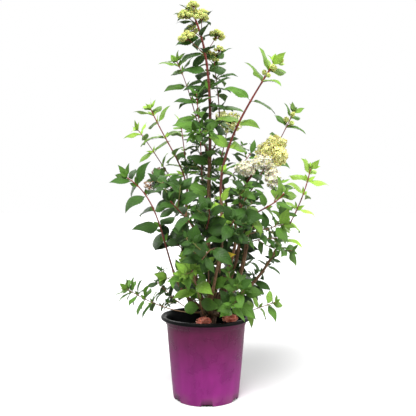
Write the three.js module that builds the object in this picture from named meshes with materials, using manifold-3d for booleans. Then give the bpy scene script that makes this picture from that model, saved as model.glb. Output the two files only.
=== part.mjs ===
// A panicle hydrangea in a nursery pot, in millimetres, +Z up. The origin is the middle of the pot's flat
// underside, and the plant is seen in the photograph along +Y. The woody crown sits in the potting mix,
// old canes rise from the crown, and each cane ends in leafy shoots. Every limb is one curve from its foot
// to its tip. Leaves stand on a shoot in pairs, each pair a quarter turn on from the last, and a leaf or
// twig that would touch anything but its own stem is left out.
import * as THREE from 'three';
import { mergeVertices } from 'three/addons/utils/BufferGeometryUtils.js';
import Module from 'manifold-3d';

const wasm = await Module();
wasm.setup();

// Driving dimensions of the pot: a thin moulded wall with a collar and a rolled lip.
const POT = {
  height: 210,
  footRadius: 85,
  shoulderRadius: 102,
  shoulderHeight: 188,
  collarRadius: 104.5,
  lipRadius: 117,
  lipDrop: 12,
  wall: 2,
  floor: 3,
  sides: 32,
};
const DRAIN = { count: 6, width: 30, height: 6, depth: 18, turn: 1.5 };
const MIX = { top: 170, clearance: 0.3 };

// Driving dimensions of the woody crown: a short leaning trunk that swells into a knuckle.
const CROWN = {
  knuckle: new THREE.Vector3(10, 0, 216),
  knuckleRadius: 24,
  lean: new THREE.Vector3(-4, 2, 0),
  flareRadius: 27,
  neckRadius: 18,
  neckHeight: 190,
  sides: 14,
};

// The shortest edge kept in a fused body, the gap where a limb meets the next, the least gap round a leaf,
// and how far a shoot's own space goes from its stem.
const FINE = 0.02;
const SEAT = 0.3;
const CLEAR = 0.5;
const SPACE = 118;

// A leaf's proportions, as shares of its length, and its angles in radians.
const LEAF = {
  widest: 0.38,
  shoulder: 0.72,
  shoulderWidth: 0.72,
  middle: 0.52,
  width: 0.54,
  thickness: 0.018,
  fold: 0.28,
  plainBelow: 46,
  tries: 4,
};
// How far a leaf strays from its rule, in radians or as a share, and how much it shrinks at each try.
const STRAY = { pair: 0.2, turn: 0.16, lift: 0.12, roll: 0.32, size: 0.1, arch: 0.3, shrink: 0.05 };
// How leaf size, internode, lift and arch change from a shoot's tip downwards, one value for each pair.
const PAIR_SIZE = [0.58, 0.84, 0.96, 1];
const PAIR_GAP = [0.12, 0.28, 0.46, 0.8, 1];
const PAIR_LIFT = [0.5, 0.8, 1.0, 1.15];
const PAIR_ARCH = [0.35, 0.6, 0.85, 1.0];
const QUARTER_TURN = Math.PI / 2;

// What an upper leaf face turns to: its stem's tip, the light, and outwards, in full past a reach.
const LIGHT = new THREE.Vector3(0, -0.76, 0.65);
const FACING = { along: 0.25, light: 0.8, radial: 0.4, reach: 150 };

const TWIG = {
  radius: 1.5,
  taper: 0.7,
  length: 58,
  gap: 46,
  leaf: 0.9,
  lift: 0.8,
  stray: 0.3,
  rise: 0.15,
  bare: 0.2,
};
const BUD = { radius: 18, height: 9, stalk: 1.1, lift: 0.72, upright: 0.6, reach: 58, spacing: 11, tips: 3 };
// The steps between the seeds of a shoot, its pairs, and the leaves and twigs of a pair.
const SEED = { shoot: 1000, pair: 97, leaf: 31, twig: 53, onTwig: 7 };

// The old canes. The foot is the azimuth and climb in degrees where the cane leaves the knuckle.
const CANES = [
  { name: 'cane_leader', foot: [100, 80], tip: [10, 5, 635], radii: [6.5, 4.6] },
  { name: 'cane_right_tall', foot: [-60, 62], tip: [38, -35, 520], radii: [5.2, 3.9] },
  { name: 'cane_bloom', foot: [-8, 52], tip: [88, -10, 498], radii: [5.2, 3.9] },
  { name: 'cane_far_right', foot: [-12, 24], tip: [181, -15, 382], radii: [4.6, 3.3] },
  { name: 'cane_pruned', foot: [-38, 30], tip: [103, -55, 408], radii: [6, 5] },
  { name: 'cane_arch', foot: [-66, 35], tip: [76, -95, 422], radii: [4.5, 3.4] },
  { name: 'cane_far_left', foot: [-165, 28], tip: [-83, -45, 331], radii: [4.5, 3.4] },
  { name: 'cane_left', foot: [150, 55], tip: [-52, 50, 520], radii: [5, 3.6] },
  { name: 'cane_back_left', foot: [126, 32], tip: [-55, 130, 510], radii: [4.6, 3.3] },
  { name: 'cane_back', foot: [90, 50], tip: [-9, 85, 538], radii: [4.6, 3.3] },
  { name: 'cane_back_right', foot: [55, 38], tip: [45, 130, 568], radii: [4.8, 3.4] },
  { name: 'cane_rear', foot: [88, 14], tip: [26, 170, 438], radii: [4.6, 3.3] },
  { name: 'cane_front_left', foot: [-118, 38], tip: [-23, -115, 411], radii: [4.6, 3.3] },
  { name: 'cane_front_right', foot: [-92, 12], tip: [38, -130, 400], radii: [4.6, 3.3] },
];

// The leafy shoots. One that names a cane goes on from its tip, or leaves its side where side gives a
// direction; one with a foot leaves the knuckle. via is the point that the shoot comes to its tip from,
// bare the leafless length, gap the longest internode, leaf the longest leaf, turn the first pair's angle
// in degrees, and twigs the share of leaf axils that bear a side twig. umbels is the number of stalked bud
// tiers under a budded tip.
const SHOOTS = [
  {
    name: 'leader_top', cane: 'cane_leader',
    via: [30, 2, 880], tip: [-43, 0, 1012], radius: 4.2,
    bare: 40, gap: 46, leaf: 74, turn: 28, twigs: 0, bareTop: 12, umbels: 4, tuft: true,
  },
  {
    name: 'leader_left_high', cane: 'cane_leader', side: [-0.35, 0.55, 0.75],
    via: [-18, 30, 760], tip: [-78, 26, 878], radius: 2.4,
    bare: 90, gap: 44, leaf: 68, turn: 40, twigs: 0, tuft: true,
  },
  {
    name: 'leader_left', cane: 'cane_leader', side: [-0.5, -0.45, 0.75],
    via: [-16, -22, 690], tip: [-24, -30, 780], radius: 2.4,
    bare: 10, gap: 32, leaf: 70, turn: 50, twigs: 0,
  },
  {
    name: 'leader_twin', cane: 'cane_leader', side: [0.45, 0.4, 0.75],
    via: [30, 30, 760], tip: [20, 25, 895], radius: 2.6,
    bare: 40, gap: 40, leaf: 72, turn: 50, twigs: 0, umbels: 1,
  },
  {
    name: 'right_tall', cane: 'cane_right_tall',
    via: [75, -48, 700], tip: [170, -60, 850], radius: 3.7,
    bare: 30, gap: 66, leaf: 78, turn: 42, twigs: 0, tuft: true,
  },
  {
    name: 'bloom_head', cane: 'cane_bloom',
    via: [118, -16, 560], tip: [172, -28, 650], radius: 3.6,
    bare: 20, gap: 40, leaf: 62, turn: 60, twigs: 0, bareTop: 86, lobes: true,
  },
  {
    name: 'bloom_shoot', cane: 'cane_bloom', side: [0.5, 0.5, 0.7],
    via: [165, 44, 600], tip: [235, 30, 746], radius: 2.6,
    bare: 40, gap: 56, leaf: 62, turn: 48, twigs: 0, tuft: true,
  },
  {
    name: 'far_right', cane: 'cane_far_right',
    via: [243, -10, 452], tip: [272, -5, 592], radius: 3,
    bare: 20, gap: 44, leaf: 70, turn: 46, twigs: 0, tuft: true,
  },
  {
    name: 'far_right_low', cane: 'cane_far_right', side: [0.75, -0.5, 0.25],
    tip: [218, -42, 380], radius: 1.8,
    bare: 6, gap: 24, leaf: 52, turn: 10, twigs: 0.2,
  },
  {
    name: 'pruned_up', cane: 'cane_pruned', side: [0.2, 0.65, 0.7],
    tip: [140, 5, 462], radius: 2.2,
    bare: 10, gap: 34, leaf: 50, turn: 0, twigs: 0.2,
  },
  {
    name: 'pruned_right', cane: 'cane_pruned', side: [0.85, -0.3, 0.35],
    tip: [178, -72, 414], radius: 2.2,
    bare: 10, gap: 30, leaf: 46, turn: 20, twigs: 0.1,
  },
  {
    name: 'arch_right', cane: 'cane_arch',
    via: [148, -116, 462], tip: [186, -126, 524], radius: 3.1,
    bare: 20, gap: 36, leaf: 64, turn: 40, twigs: 0.1,
  },
  {
    name: 'arch_low', cane: 'cane_arch', side: [0.85, 0.3, 0.3],
    tip: [192, -78, 448], radius: 2.4,
    bare: 14, gap: 28, leaf: 62, turn: 30, twigs: 0.1, tuft: true,
  },
  {
    name: 'arch_up', cane: 'cane_arch', side: [-0.2, -0.55, 0.8],
    tip: [100, -130, 520], radius: 2.4,
    bare: 12, gap: 34, leaf: 62, turn: 20, twigs: 0.15,
  },
  {
    name: 'far_left', cane: 'cane_far_left',
    via: [-88, -52, 500], tip: [-198, -62, 564], radius: 3.1,
    bare: 60, gap: 42, leaf: 74, turn: 40, twigs: 0, tuft: true,
  },
  {
    name: 'left_tall', cane: 'cane_left',
    via: [-88, 56, 615], tip: [-152, 70, 760], radius: 3.3,
    bare: 20, gap: 56, leaf: 70, turn: 44, twigs: 0, tuft: true,
  },
  {
    name: 'left_mid', cane: 'cane_left', side: [-0.6, 0.35, 0.7],
    via: [-108, 82, 600], tip: [-192, 104, 708], radius: 2.4,
    bare: 30, gap: 50, leaf: 60, turn: 36, twigs: 0, tuft: true,
  },
  {
    name: 'left_inner', cane: 'cane_left', side: [-0.6, -0.55, 0.5],
    tip: [-120, -5, 560], radius: 2.3,
    bare: 10, gap: 32, leaf: 62, turn: 30, twigs: 0.15,
  },
  {
    name: 'back_left', cane: 'cane_back_left',
    via: [-62, 148, 620], tip: [-74, 165, 738], radius: 2.9,
    bare: 20, gap: 54, leaf: 62, turn: 40, twigs: 0, umbels: 0, tuft: true,
  },
  {
    name: 'spent_panicle', cane: 'cane_back_left', side: [-0.75, 0.1, 0.6],
    tip: [-140, 138, 566], radius: 2.2,
    bare: 10, gap: 34, leaf: 52, turn: 0, twigs: 0, umbels: 1,
  },
  {
    name: 'back_tall', cane: 'cane_back',
    via: [-12, 98, 610], tip: [-17, 112, 694], radius: 2.9,
    bare: 10, gap: 40, leaf: 62, turn: 20, twigs: 0.15,
  },
  {
    name: 'back_bloom', cane: 'cane_back_right',
    via: [55, 150, 650], tip: [66, 168, 745], radius: 2.9,
    bare: 10, gap: 42, leaf: 60, turn: 45, twigs: 0, umbels: 2,
  },
  {
    name: 'back_right', cane: 'cane_back_right', side: [0.75, 0.3, 0.6],
    tip: [138, 190, 660], radius: 2.4,
    bare: 14, gap: 42, leaf: 60, turn: 30, twigs: 0.2,
  },
  {
    name: 'rear_mid', cane: 'cane_rear',
    via: [14, 205, 480], tip: [0, 238, 575], radius: 2.9,
    bare: 12, gap: 38, leaf: 62, turn: 45, twigs: 0.12,
  },
  {
    name: 'rear_right', cane: 'cane_rear', side: [0.75, 0.4, 0.5],
    tip: [116, 236, 505], radius: 2.5,
    bare: 12, gap: 36, leaf: 60, turn: 60, twigs: 0.15,
  },
  {
    name: 'rear_left', cane: 'cane_rear', side: [-0.75, 0.4, 0.5],
    tip: [-88, 236, 480], radius: 2.5,
    bare: 12, gap: 36, leaf: 60, turn: 30, twigs: 0.15,
  },
  {
    name: 'front_left', cane: 'cane_front_left',
    via: [-45, -140, 455], tip: [-82, -160, 505], radius: 2.9,
    bare: 8, gap: 32, leaf: 70, turn: 45, twigs: 0.2,
  },
  {
    name: 'front_mid', cane: 'cane_front_left', side: [0.65, -0.3, 0.65],
    tip: [8, -158, 488], radius: 2.4,
    bare: 10, gap: 30, leaf: 68, turn: 20, twigs: 0.2,
  },
  {
    name: 'front_right', cane: 'cane_front_right',
    via: [52, -165, 430], tip: [64, -190, 462], radius: 2.9,
    bare: 8, gap: 28, leaf: 66, turn: 45, twigs: 0.2,
  },
  {
    name: 'front_centre', cane: 'cane_front_right', side: [-0.6, -0.7, 0.25],
    tip: [-8, -196, 372], radius: 2.4,
    bare: 8, gap: 28, leaf: 64, turn: 70, twigs: 0.2,
  },
  {
    name: 'front_low', foot: [-108, -6],
    via: [2, -95, 240], tip: [-34, -142, 345], radius: 2.8,
    bare: 50, gap: 26, leaf: 74, turn: 40, twigs: 0.12,
  },
  {
    name: 'low_left', foot: [-178, -2],
    via: [-125, 8, 226], tip: [-210, 20, 274], radius: 2.3,
    bare: 110, gap: 22, leaf: 50, turn: 45, twigs: 0.1,
  },
  {
    name: 'low_left_back', foot: [152, -3],
    via: [-80, 55, 236], tip: [-136, 92, 282], radius: 2,
    bare: 70, gap: 24, leaf: 50, turn: 45, twigs: 0.15,
  },
  {
    name: 'low_right', foot: [-34, -6],
    via: [98, -48, 226], tip: [172, -76, 256], radius: 2.1,
    bare: 84, gap: 28, leaf: 50, turn: 50, twigs: 0,
  },
  {
    name: 'low_right_back', foot: [34, -6],
    via: [80, 45, 262], tip: [132, 64, 292], radius: 2.2,
    bare: 60, gap: 24, leaf: 54, turn: 30, twigs: 0.2,
  },
  {
    name: 'low_front_right', foot: [-62, -8],
    via: [58, -78, 236], tip: [92, -112, 292], radius: 2.4,
    bare: 50, gap: 26, leaf: 62, turn: 30, twigs: 0.2,
  },
  {
    name: 'low_back', foot: [112, -8],
    via: [-22, 110, 240], tip: [-30, 182, 318], radius: 2.4,
    bare: 70, gap: 28, leaf: 62, turn: 30, twigs: 0.12,
  },
  {
    name: 'low_back_right', foot: [64, -8],
    via: [62, 98, 240], tip: [110, 165, 320], radius: 2.4,
    bare: 70, gap: 28, leaf: 62, turn: 60, twigs: 0.12,
  },
  {
    name: 'right_mid', foot: [8, 4],
    via: [95, 15, 262], tip: [176, 34, 352], radius: 2.4,
    bare: 50, gap: 30, leaf: 56, turn: 45, twigs: 0.12,
  },
  {
    name: 'core_left', foot: [-178, 18],
    via: [-45, -12, 300], tip: [-66, -42, 412], radius: 2.8,
    bare: 40, gap: 30, leaf: 72, turn: 30, twigs: 0.2,
  },
  {
    name: 'core_front', foot: [-92, 40],
    via: [4, -60, 320], tip: [6, -74, 440], radius: 2.8,
    bare: 40, gap: 30, leaf: 72, turn: 60, twigs: 0.2,
  },
  {
    name: 'core_right', foot: [30, 58],
    via: [45, 30, 330], tip: [98, 48, 440], radius: 2.8,
    bare: 40, gap: 32, leaf: 68, turn: 45, twigs: 0.12,
  },
  {
    name: 'core_back', foot: [162, 28],
    via: [-38, 50, 320], tip: [-56, 88, 420], radius: 2.8,
    bare: 40, gap: 32, leaf: 68, turn: 45, twigs: 0.15,
  },
];

// The lobes of the open panicle: the middle and half sizes of each.
const LOBES = [
  { at: [180, -28, 655], radii: [26, 20, 17] },
  { at: [184, -32, 622], radii: [21, 24, 28] },
  { at: [150, -30, 632], radii: [23, 22, 19] },
  { at: [145, -42, 604], radii: [28, 22, 19] },
  { at: [100, -40, 588], radii: [26, 23, 18] },
  { at: [168, -44, 566], radii: [19, 21, 29] },
];
const LOBE = { lumps: 0.16, core: 0.98 };

const MATERIALS = {
  pot: new THREE.MeshStandardMaterial({ color: 0x8a2f78, roughness: 0.45, metalness: 0 }),
  mix: new THREE.MeshStandardMaterial({ color: 0x2c2119, roughness: 0.95, metalness: 0 }),
  bark: new THREE.MeshStandardMaterial({ color: 0x7a5a44, roughness: 0.85, metalness: 0 }),
  foliage: new THREE.MeshStandardMaterial({ color: 0x4f8f3a, roughness: 0.6, metalness: 0 }),
  bloom: new THREE.MeshStandardMaterial({ color: 0xe4e0b0, roughness: 0.7, metalness: 0 }),
};

const UP = new THREE.Vector3(0, 0, 1);
const ACROSS = new THREE.Vector3(1, 0, 0);
const vector = (list) => new THREE.Vector3(...list);
const radians = THREE.MathUtils.degToRad;
const combine = (...terms) =>
  terms.reduce((sum, [direction, share]) => sum.addScaledVector(direction, share), new THREE.Vector3());

// A repeatable stream of numbers from 0 to 1.
function stream(seed) {
  let state = seed >>> 0;
  return () => {
    state = (state + 0x6d2b79f5) >>> 0;
    let mixed = Math.imul(state ^ (state >>> 15), state | 1);
    mixed ^= mixed + Math.imul(mixed ^ (mixed >>> 7), mixed | 61);
    return ((mixed ^ (mixed >>> 14)) >>> 0) / 4294967296;
  };
}

const aboutZero = (random) => random() * 2 - 1;

// A three.js geometry as a solid, and a solid as a three.js geometry.
function solidOf(geometry) {
  const bare = geometry.index ? geometry.toNonIndexed() : geometry.clone();
  bare.deleteAttribute('normal');
  bare.deleteAttribute('uv');
  const merged = mergeVertices(bare, 1e-4);
  return new wasm.Manifold(
    new wasm.Mesh({
      numProp: 3,
      vertProperties: new Float32Array(merged.attributes.position.array),
      triVerts: new Uint32Array(merged.index.array),
    }),
  );
}

function geometryOf(solid) {
  const mesh = solid.getMesh();
  const step = mesh.numProp;
  const points = new Float32Array(mesh.numVert * 3);
  for (let i = 0; i < mesh.numVert; i += 1) {
    points.set(mesh.vertProperties.subarray(i * step, i * step + 3), i * 3);
  }
  const geometry = new THREE.BufferGeometry();
  geometry.setAttribute('position', new THREE.BufferAttribute(points, 3));
  geometry.setIndex(new THREE.BufferAttribute(new Uint32Array(mesh.triVerts), 1));
  return geometry;
}

// A closed solid from corner points and the faces that join them, anticlockwise seen from outside.
function facetedSolid(points, faces) {
  const geometry = new THREE.BufferGeometry();
  const corners = points.flatMap((point) => point.toArray());
  geometry.setAttribute('position', new THREE.Float32BufferAttribute(corners, 3));
  geometry.setIndex(faces.flat());
  return solidOf(geometry);
}

// The faces between rings of points that stand one above the other.
function skin(rings, sides) {
  const faces = [];
  for (let i = 0; i + 1 < rings; i += 1) {
    for (let j = 0; j < sides; j += 1) {
      const a = i * sides + j;
      const b = i * sides + ((j + 1) % sides);
      faces.push([a, b, b + sides], [a, b + sides, a + sides]);
    }
  }
  return faces;
}

// One body from several that meet: edges too short to see are closed up, and loose scraps dropped.
function fuse(solids) {
  const joined = wasm.Manifold.union(solids).asOriginal().simplify(FINE);
  const bodies = joined.decompose();
  return bodies.reduce((best, body) => (body.volume() > best.volume() ? body : best));
}

// The middle line of one limb: straight stretches between rings on a curve that leaves its start along out
// and comes to its tip from via.
class Limb {
  constructor(start, out, via, tip, steps) {
    const rise = start.clone().addScaledVector(out, (2 / 3) * start.distanceTo(via));
    const approach = tip.clone().lerp(via, 2 / 3);
    const curve = new THREE.CubicBezierCurve3(start, rise, approach, tip);
    const chord = tip.clone().sub(start);
    const level = chord.clone().cross(UP);
    this.reference = level.length() > 0.25 * chord.length() ? level.normalize() : ACROSS.clone();
    this.rings = [];
    for (let i = 0; i <= steps; i += 1) {
      this.rings.push(this.framed(curve.getPoint(i / steps), curve.getTangent(i / steps)));
    }
    this.reaches = [0];
    for (let i = 0; i < steps; i += 1) {
      this.reaches.push(this.reaches[i] + this.rings[i].point.distanceTo(this.rings[i + 1].point));
    }
    this.length = this.reaches[steps];
    this.tip = this.rings[steps];
  }

  // A point with the limb's direction and two square directions there.
  framed(point, along) {
    const side = this.reference.clone().addScaledVector(along, -this.reference.dot(along)).normalize();
    return { point, along, side, front: along.clone().cross(side) };
  }

  // How far a point is from the middle line.
  distanceTo(point) {
    const spots = this.rings.slice(1).map((ring, i) => {
      const stretch = new THREE.Line3(this.rings[i].point, ring.point);
      return stretch.closestPointToPoint(point, true, new THREE.Vector3()).distanceTo(point);
    });
    return Math.min(...spots);
  }

  // The frame of the point at a distance back from the tip.
  fromTip(distance) {
    const reach = Math.max(0, this.length - distance);
    const next = Math.max(1, this.reaches.findIndex((value) => value >= reach));
    const [low, high] = [this.rings[next - 1].point, this.rings[next].point];
    const share = (reach - this.reaches[next - 1]) / (this.reaches[next] - this.reaches[next - 1]);
    return this.framed(low.clone().lerp(high, share), high.clone().sub(low).normalize());
  }
}

// A tapering tube round a limb, flat at its foot and flat or pointed at its tip.
function tube(limb, radii, sides, pointed) {
  const steps = limb.rings.length - 1;
  const rings = pointed ? steps : steps + 1;
  const points = limb.rings.slice(0, rings).flatMap(({ point, side, front }, i) => {
    const radius = THREE.MathUtils.lerp(radii[0], radii[1], i / steps);
    return Array.from({ length: sides }, (_, j) => {
      const angle = (2 * Math.PI * j) / sides;
      return point
        .clone()
        .addScaledVector(side, radius * Math.cos(angle))
        .addScaledVector(front, radius * Math.sin(angle));
    });
  });
  const faces = skin(rings, sides);
  const last = (rings - 1) * sides;
  for (let j = 1; j + 1 < sides; j += 1) faces.push([0, j + 1, j]);
  if (pointed) {
    points.push(limb.tip.point);
    for (let j = 0; j < sides; j += 1) faces.push([last + j, last + ((j + 1) % sides), points.length - 1]);
  } else {
    for (let j = 1; j + 1 < sides; j += 1) faces.push([last, last + j, last + j + 1]);
  }
  return facetedSolid(points, faces);
}

// Where a leaf points and which way its upper face looks: to the light, and outwards from the middle of
// the shrub.
function leafAim(frame, turn, lift, roll) {
  const out = combine([frame.side, Math.cos(turn)], [frame.front, Math.sin(turn)]);
  const along = combine([frame.along, Math.cos(lift)], [out, Math.sin(lift)]).normalize();
  const radial = frame.point.clone().setZ(0).divideScalar(FACING.reach).clampLength(0, 1);
  const face = combine([frame.along, FACING.along], [LIGHT, FACING.light], [radial, FACING.radial]);
  face.addScaledVector(along, -face.dot(along)).normalize().applyAxisAngle(along, roll);
  return { along, face };
}

// The point at a share of a leaf's midrib, and the direction that the upper face looks in there.
function midribAt(root, { along, face }, size, arch, share) {
  const angle = arch * share;
  const point = root
    .clone()
    .addScaledVector(along, (size / arch) * Math.sin(angle))
    .addScaledVector(face, -(size / arch) * (1 - Math.cos(angle)));
  const normal = face.clone().multiplyScalar(Math.cos(angle)).addScaledVector(along, Math.sin(angle));
  return { point, normal };
}

// One leaf: a blade of six outline points, or four on a small one, folded along its midrib and arched to
// its tip.
function leafSolid(root, aim, size, arch, grown) {
  const { along, face } = aim;
  const across = along.clone().cross(face);
  const at = (share) => midribAt(root, aim, size, arch, share);
  const edge = (share, width, hand) => {
    const { point, normal } = at(share);
    return point
      .addScaledVector(across, hand * width * Math.cos(LEAF.fold))
      .addScaledVector(normal, width * Math.sin(LEAF.fold));
  };
  const half = (LEAF.width * size) / 2 + grown;
  const narrow = half * LEAF.shoulderWidth;
  const thick = (LEAF.thickness * size) / 2 + grown;
  const middle = at(LEAF.middle);
  const tip = at(1).point.addScaledVector(along, grown);
  const left = [edge(LEAF.widest, half, -1), edge(LEAF.shoulder, narrow, -1)];
  const right = [edge(LEAF.shoulder, narrow, 1), edge(LEAF.widest, half, 1)];
  const outline = size < LEAF.plainBelow ? [root, left[0], tip, right[1]] : [root, ...left, tip, ...right];
  const over = middle.point.clone().addScaledVector(middle.normal, thick);
  const under = middle.point.clone().addScaledVector(middle.normal, -thick);
  const last = outline.length;
  const faces = outline.flatMap((_, j) => [
    [last, (j + 1) % last, j],
    [last + 1, j, (j + 1) % last],
  ]);
  return facetedSolid([...outline, over, under], faces);
}

// The bounding box of a solid, and whether two boxes meet.
const boxOf = (solid) => solid.boundingBox();
const boxesMeet = (a, b) => [0, 1, 2].every((k) => a.min[k] <= b.max[k] && b.min[k] <= a.max[k]);

// Everything that stands in the part so far, so that what comes next can keep clear of it.
const standing = [];

function stand(owner, solid) {
  const item = { owner, solid, box: boxOf(solid) };
  standing.push(item);
  return item;
}

function touched(solid, allowed) {
  const box = boxOf(solid);
  return standing.find(
    (item) => !allowed.includes(item) && boxesMeet(box, item.box) && !solid.intersect(item.solid).isEmpty(),
  );
}

const touches = (solid, allowed) => touched(solid, allowed) !== undefined;

function warnOfTouch(name, solid) {
  const other = touched(solid, []);
  if (other) console.warn(name + ' touches ' + other.owner);
}

const group = new THREE.Group();

function addPart(name, solid, material) {
  const mesh = new THREE.Mesh(geometryOf(solid), material);
  mesh.name = name;
  group.add(mesh);
}

const profilePoints = (pairs) => pairs.map(([radius, height]) => new THREE.Vector2(radius, height));

// A solid of revolution about the pot's axis.
function turned(pairs, sides) {
  const geometry = new THREE.LatheGeometry(profilePoints(pairs), sides);
  geometry.rotateX(Math.PI / 2);
  return solidOf(geometry);
}

const outerRadius = (height) =>
  THREE.MathUtils.lerp(POT.footRadius, POT.shoulderRadius, height / POT.shoulderHeight);

function potSolid() {
  const lipFoot = POT.height - POT.lipDrop;
  const roll = POT.lipDrop / 4;
  const inside = (height) => outerRadius(height) - POT.wall;
  const shell = turned(
    [
      [0, 0],
      [POT.footRadius, 0],
      [POT.shoulderRadius, POT.shoulderHeight],
      [POT.collarRadius, POT.shoulderHeight + 2],
      [POT.collarRadius, lipFoot],
      [POT.lipRadius - roll, lipFoot],
      [POT.lipRadius, lipFoot + roll],
      [POT.lipRadius, POT.height - roll],
      [POT.lipRadius - roll, POT.height],
      [POT.collarRadius + POT.wall, POT.height],
      [POT.collarRadius - POT.wall, lipFoot],
      [inside(POT.shoulderHeight), POT.shoulderHeight],
      [inside(POT.floor), POT.floor],
      [0, POT.floor],
    ],
    POT.sides,
  );
  const notches = Array.from({ length: DRAIN.count }, (_, i) => {
    const notch = new THREE.BoxGeometry(DRAIN.width, 2 * DRAIN.depth, 2 * DRAIN.height);
    notch.translate(0, -POT.footRadius, 0);
    notch.rotateZ(radians(DRAIN.turn) + (2 * Math.PI * i) / DRAIN.count);
    return solidOf(notch);
  });
  return shell.subtract(wasm.Manifold.union(notches));
}

function mixSolid() {
  const radius = (height) => outerRadius(height) - POT.wall - MIX.clearance;
  const foot = POT.floor + MIX.clearance;
  return turned(
    [
      [0, foot],
      [radius(foot), foot],
      [radius(MIX.top), MIX.top],
      [0, MIX.top],
    ],
    POT.sides,
  );
}

// The short trunk: a root flare cut flat on the mix, a neck, and the knuckle that the canes leave.
function trunkSolid() {
  const foot = MIX.top + SEAT;
  const { knuckle, knuckleRadius, flareRadius, neckRadius, neckHeight, sides, lean } = CROWN;
  const rings = [
    [foot, flareRadius],
    [foot + 5, (flareRadius + neckRadius) / 2],
    [neckHeight, neckRadius],
  ];
  for (let climb = -35; climb <= 75; climb += 22) {
    const angle = radians(climb);
    rings.push([knuckle.z + knuckleRadius * Math.sin(angle), knuckleRadius * Math.cos(angle)]);
  }
  const points = [];
  rings.forEach(([height, radius]) => {
    const down = Math.max(0, (knuckle.z - height) / (knuckle.z - foot));
    for (let j = 0; j < sides; j += 1) {
      const angle = (2 * Math.PI * j) / sides;
      points.push(
        new THREE.Vector3(
          knuckle.x + lean.x * down + radius * Math.cos(angle),
          knuckle.y + lean.y * down + radius * Math.sin(angle),
          height,
        ),
      );
    }
  });
  const faces = skin(rings.length, sides);
  const last = (rings.length - 1) * sides;
  for (let j = 1; j + 1 < sides; j += 1) faces.push([0, j + 1, j], [last, last + j, last + j + 1]);
  return facetedSolid(points, faces);
}

function footOnKnuckle([azimuth, climb]) {
  const turn = radians(azimuth);
  const rise = radians(climb);
  const level = new THREE.Vector3(Math.cos(turn), Math.sin(turn), 0);
  const out = combine([level, Math.cos(rise)], [UP, Math.sin(rise)]);
  const start = CROWN.knuckle.clone().addScaledVector(out, CROWN.knuckleRadius + SEAT);
  return { start, out };
}

// How far a limb goes straight on from its foot, as a share of its length, and the stretch between rings.
const REACH = 0.45;
const STRETCH = 55;
const SEATING = { tries: 4, search: 6 };
const SIDE_SHOOT = { belowTip: 9, slack: 0.1 };
const STEM = { thinnest: 1.1, taper: 0.4, sides: 3 };
const CANE_SIDES = 6;

function limbFrom({ start, out }, via, tip) {
  const end = vector(tip);
  const control = via ? vector(via) : start.clone().addScaledVector(out, REACH * start.distanceTo(end));
  return new Limb(start, out, control, end, Math.max(3, Math.round(start.distanceTo(end) / STRETCH)));
}

// A limb and its solid, its foot drawn in along its way out until it lies SEAT clear of what carries it.
function seatedLimb({ start, out }, carrier, { via, tip, radii, sides, pointed }) {
  const foot = start.clone();
  for (let tried = 0; tried < SEATING.tries; tried += 1) {
    const limb = limbFrom({ start: foot, out }, via, tip);
    const gap = tube(limb, radii, sides, pointed).minGap(carrier, SEATING.search);
    foot.addScaledVector(out, SEAT - gap);
  }
  const limb = limbFrom({ start: foot, out }, via, tip);
  return { limb, solid: tube(limb, radii, sides, pointed) };
}

// Where a shoot starts: past its cane's tip, on its cane's side just under the tip, or on the knuckle.
function shootStart(shoot, canes) {
  if (shoot.foot) return footOnKnuckle(shoot.foot);
  const cane = canes.get(shoot.cane);
  const tipFrame = cane.limb.tip;
  if (!shoot.side) {
    return { start: tipFrame.point.clone().addScaledVector(tipFrame.along, SEAT), out: tipFrame.along };
  }
  const out = vector(shoot.side).normalize();
  const { point, along } = cane.limb.fromTip(SIDE_SHOOT.belowTip);
  const slant = along.dot(out);
  const square = Math.sqrt(1 - slant * slant);
  const room = cane.radii[1] + SIDE_SHOOT.slack + SEAT + shoot.radius * Math.abs(slant);
  return { start: point.clone().addScaledVector(out, room / square), out };
}

// The lengths from the tip at which a shoot bears its leaf pairs.
function pairStations(length, shoot) {
  const stations = [];
  let fromTip = (shoot.bareTop ?? 0) + shoot.gap * PAIR_GAP[0];
  for (let k = 0; fromTip < length - shoot.bare; k += 1) {
    stations.push(fromTip);
    fromTip += shoot.gap * PAIR_GAP[Math.min(k + 1, PAIR_GAP.length - 1)];
  }
  return stations;
}

const ofPair = (list, k) => list[Math.min(k, list.length - 1)];

// A leaf at one side of a node. It turns a little further at each try until it has room, or is left out.
function addLeaf(mass, allowed, frame, base, seed) {
  const random = stream(seed);
  for (let tried = 0; tried < LEAF.tries; tried += 1) {
    const spread = 1 + tried;
    const turn = base.turn + STRAY.turn * spread * aboutZero(random);
    const lift = base.lift + STRAY.lift * spread * aboutZero(random);
    const roll = STRAY.roll * spread * aboutZero(random);
    const size = base.size * (1 + STRAY.size * aboutZero(random)) * (1 - STRAY.shrink * tried);
    const arch = base.arch * (1 + STRAY.arch * aboutZero(random));
    const aim = leafAim(frame, turn, lift, roll);
    const tip = midribAt(frame.point, aim, size, arch, 1).point;
    const grown = leafSolid(frame.point, aim, size, arch, CLEAR);
    if (mass.limb.distanceTo(tip) < SPACE && !touches(grown, allowed)) {
      const leaf = stand(mass.name, leafSolid(frame.point, aim, size, arch, 0));
      mass.solids.push(leaf.solid);
      return [leaf];
    }
  }
  return [];
}

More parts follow.
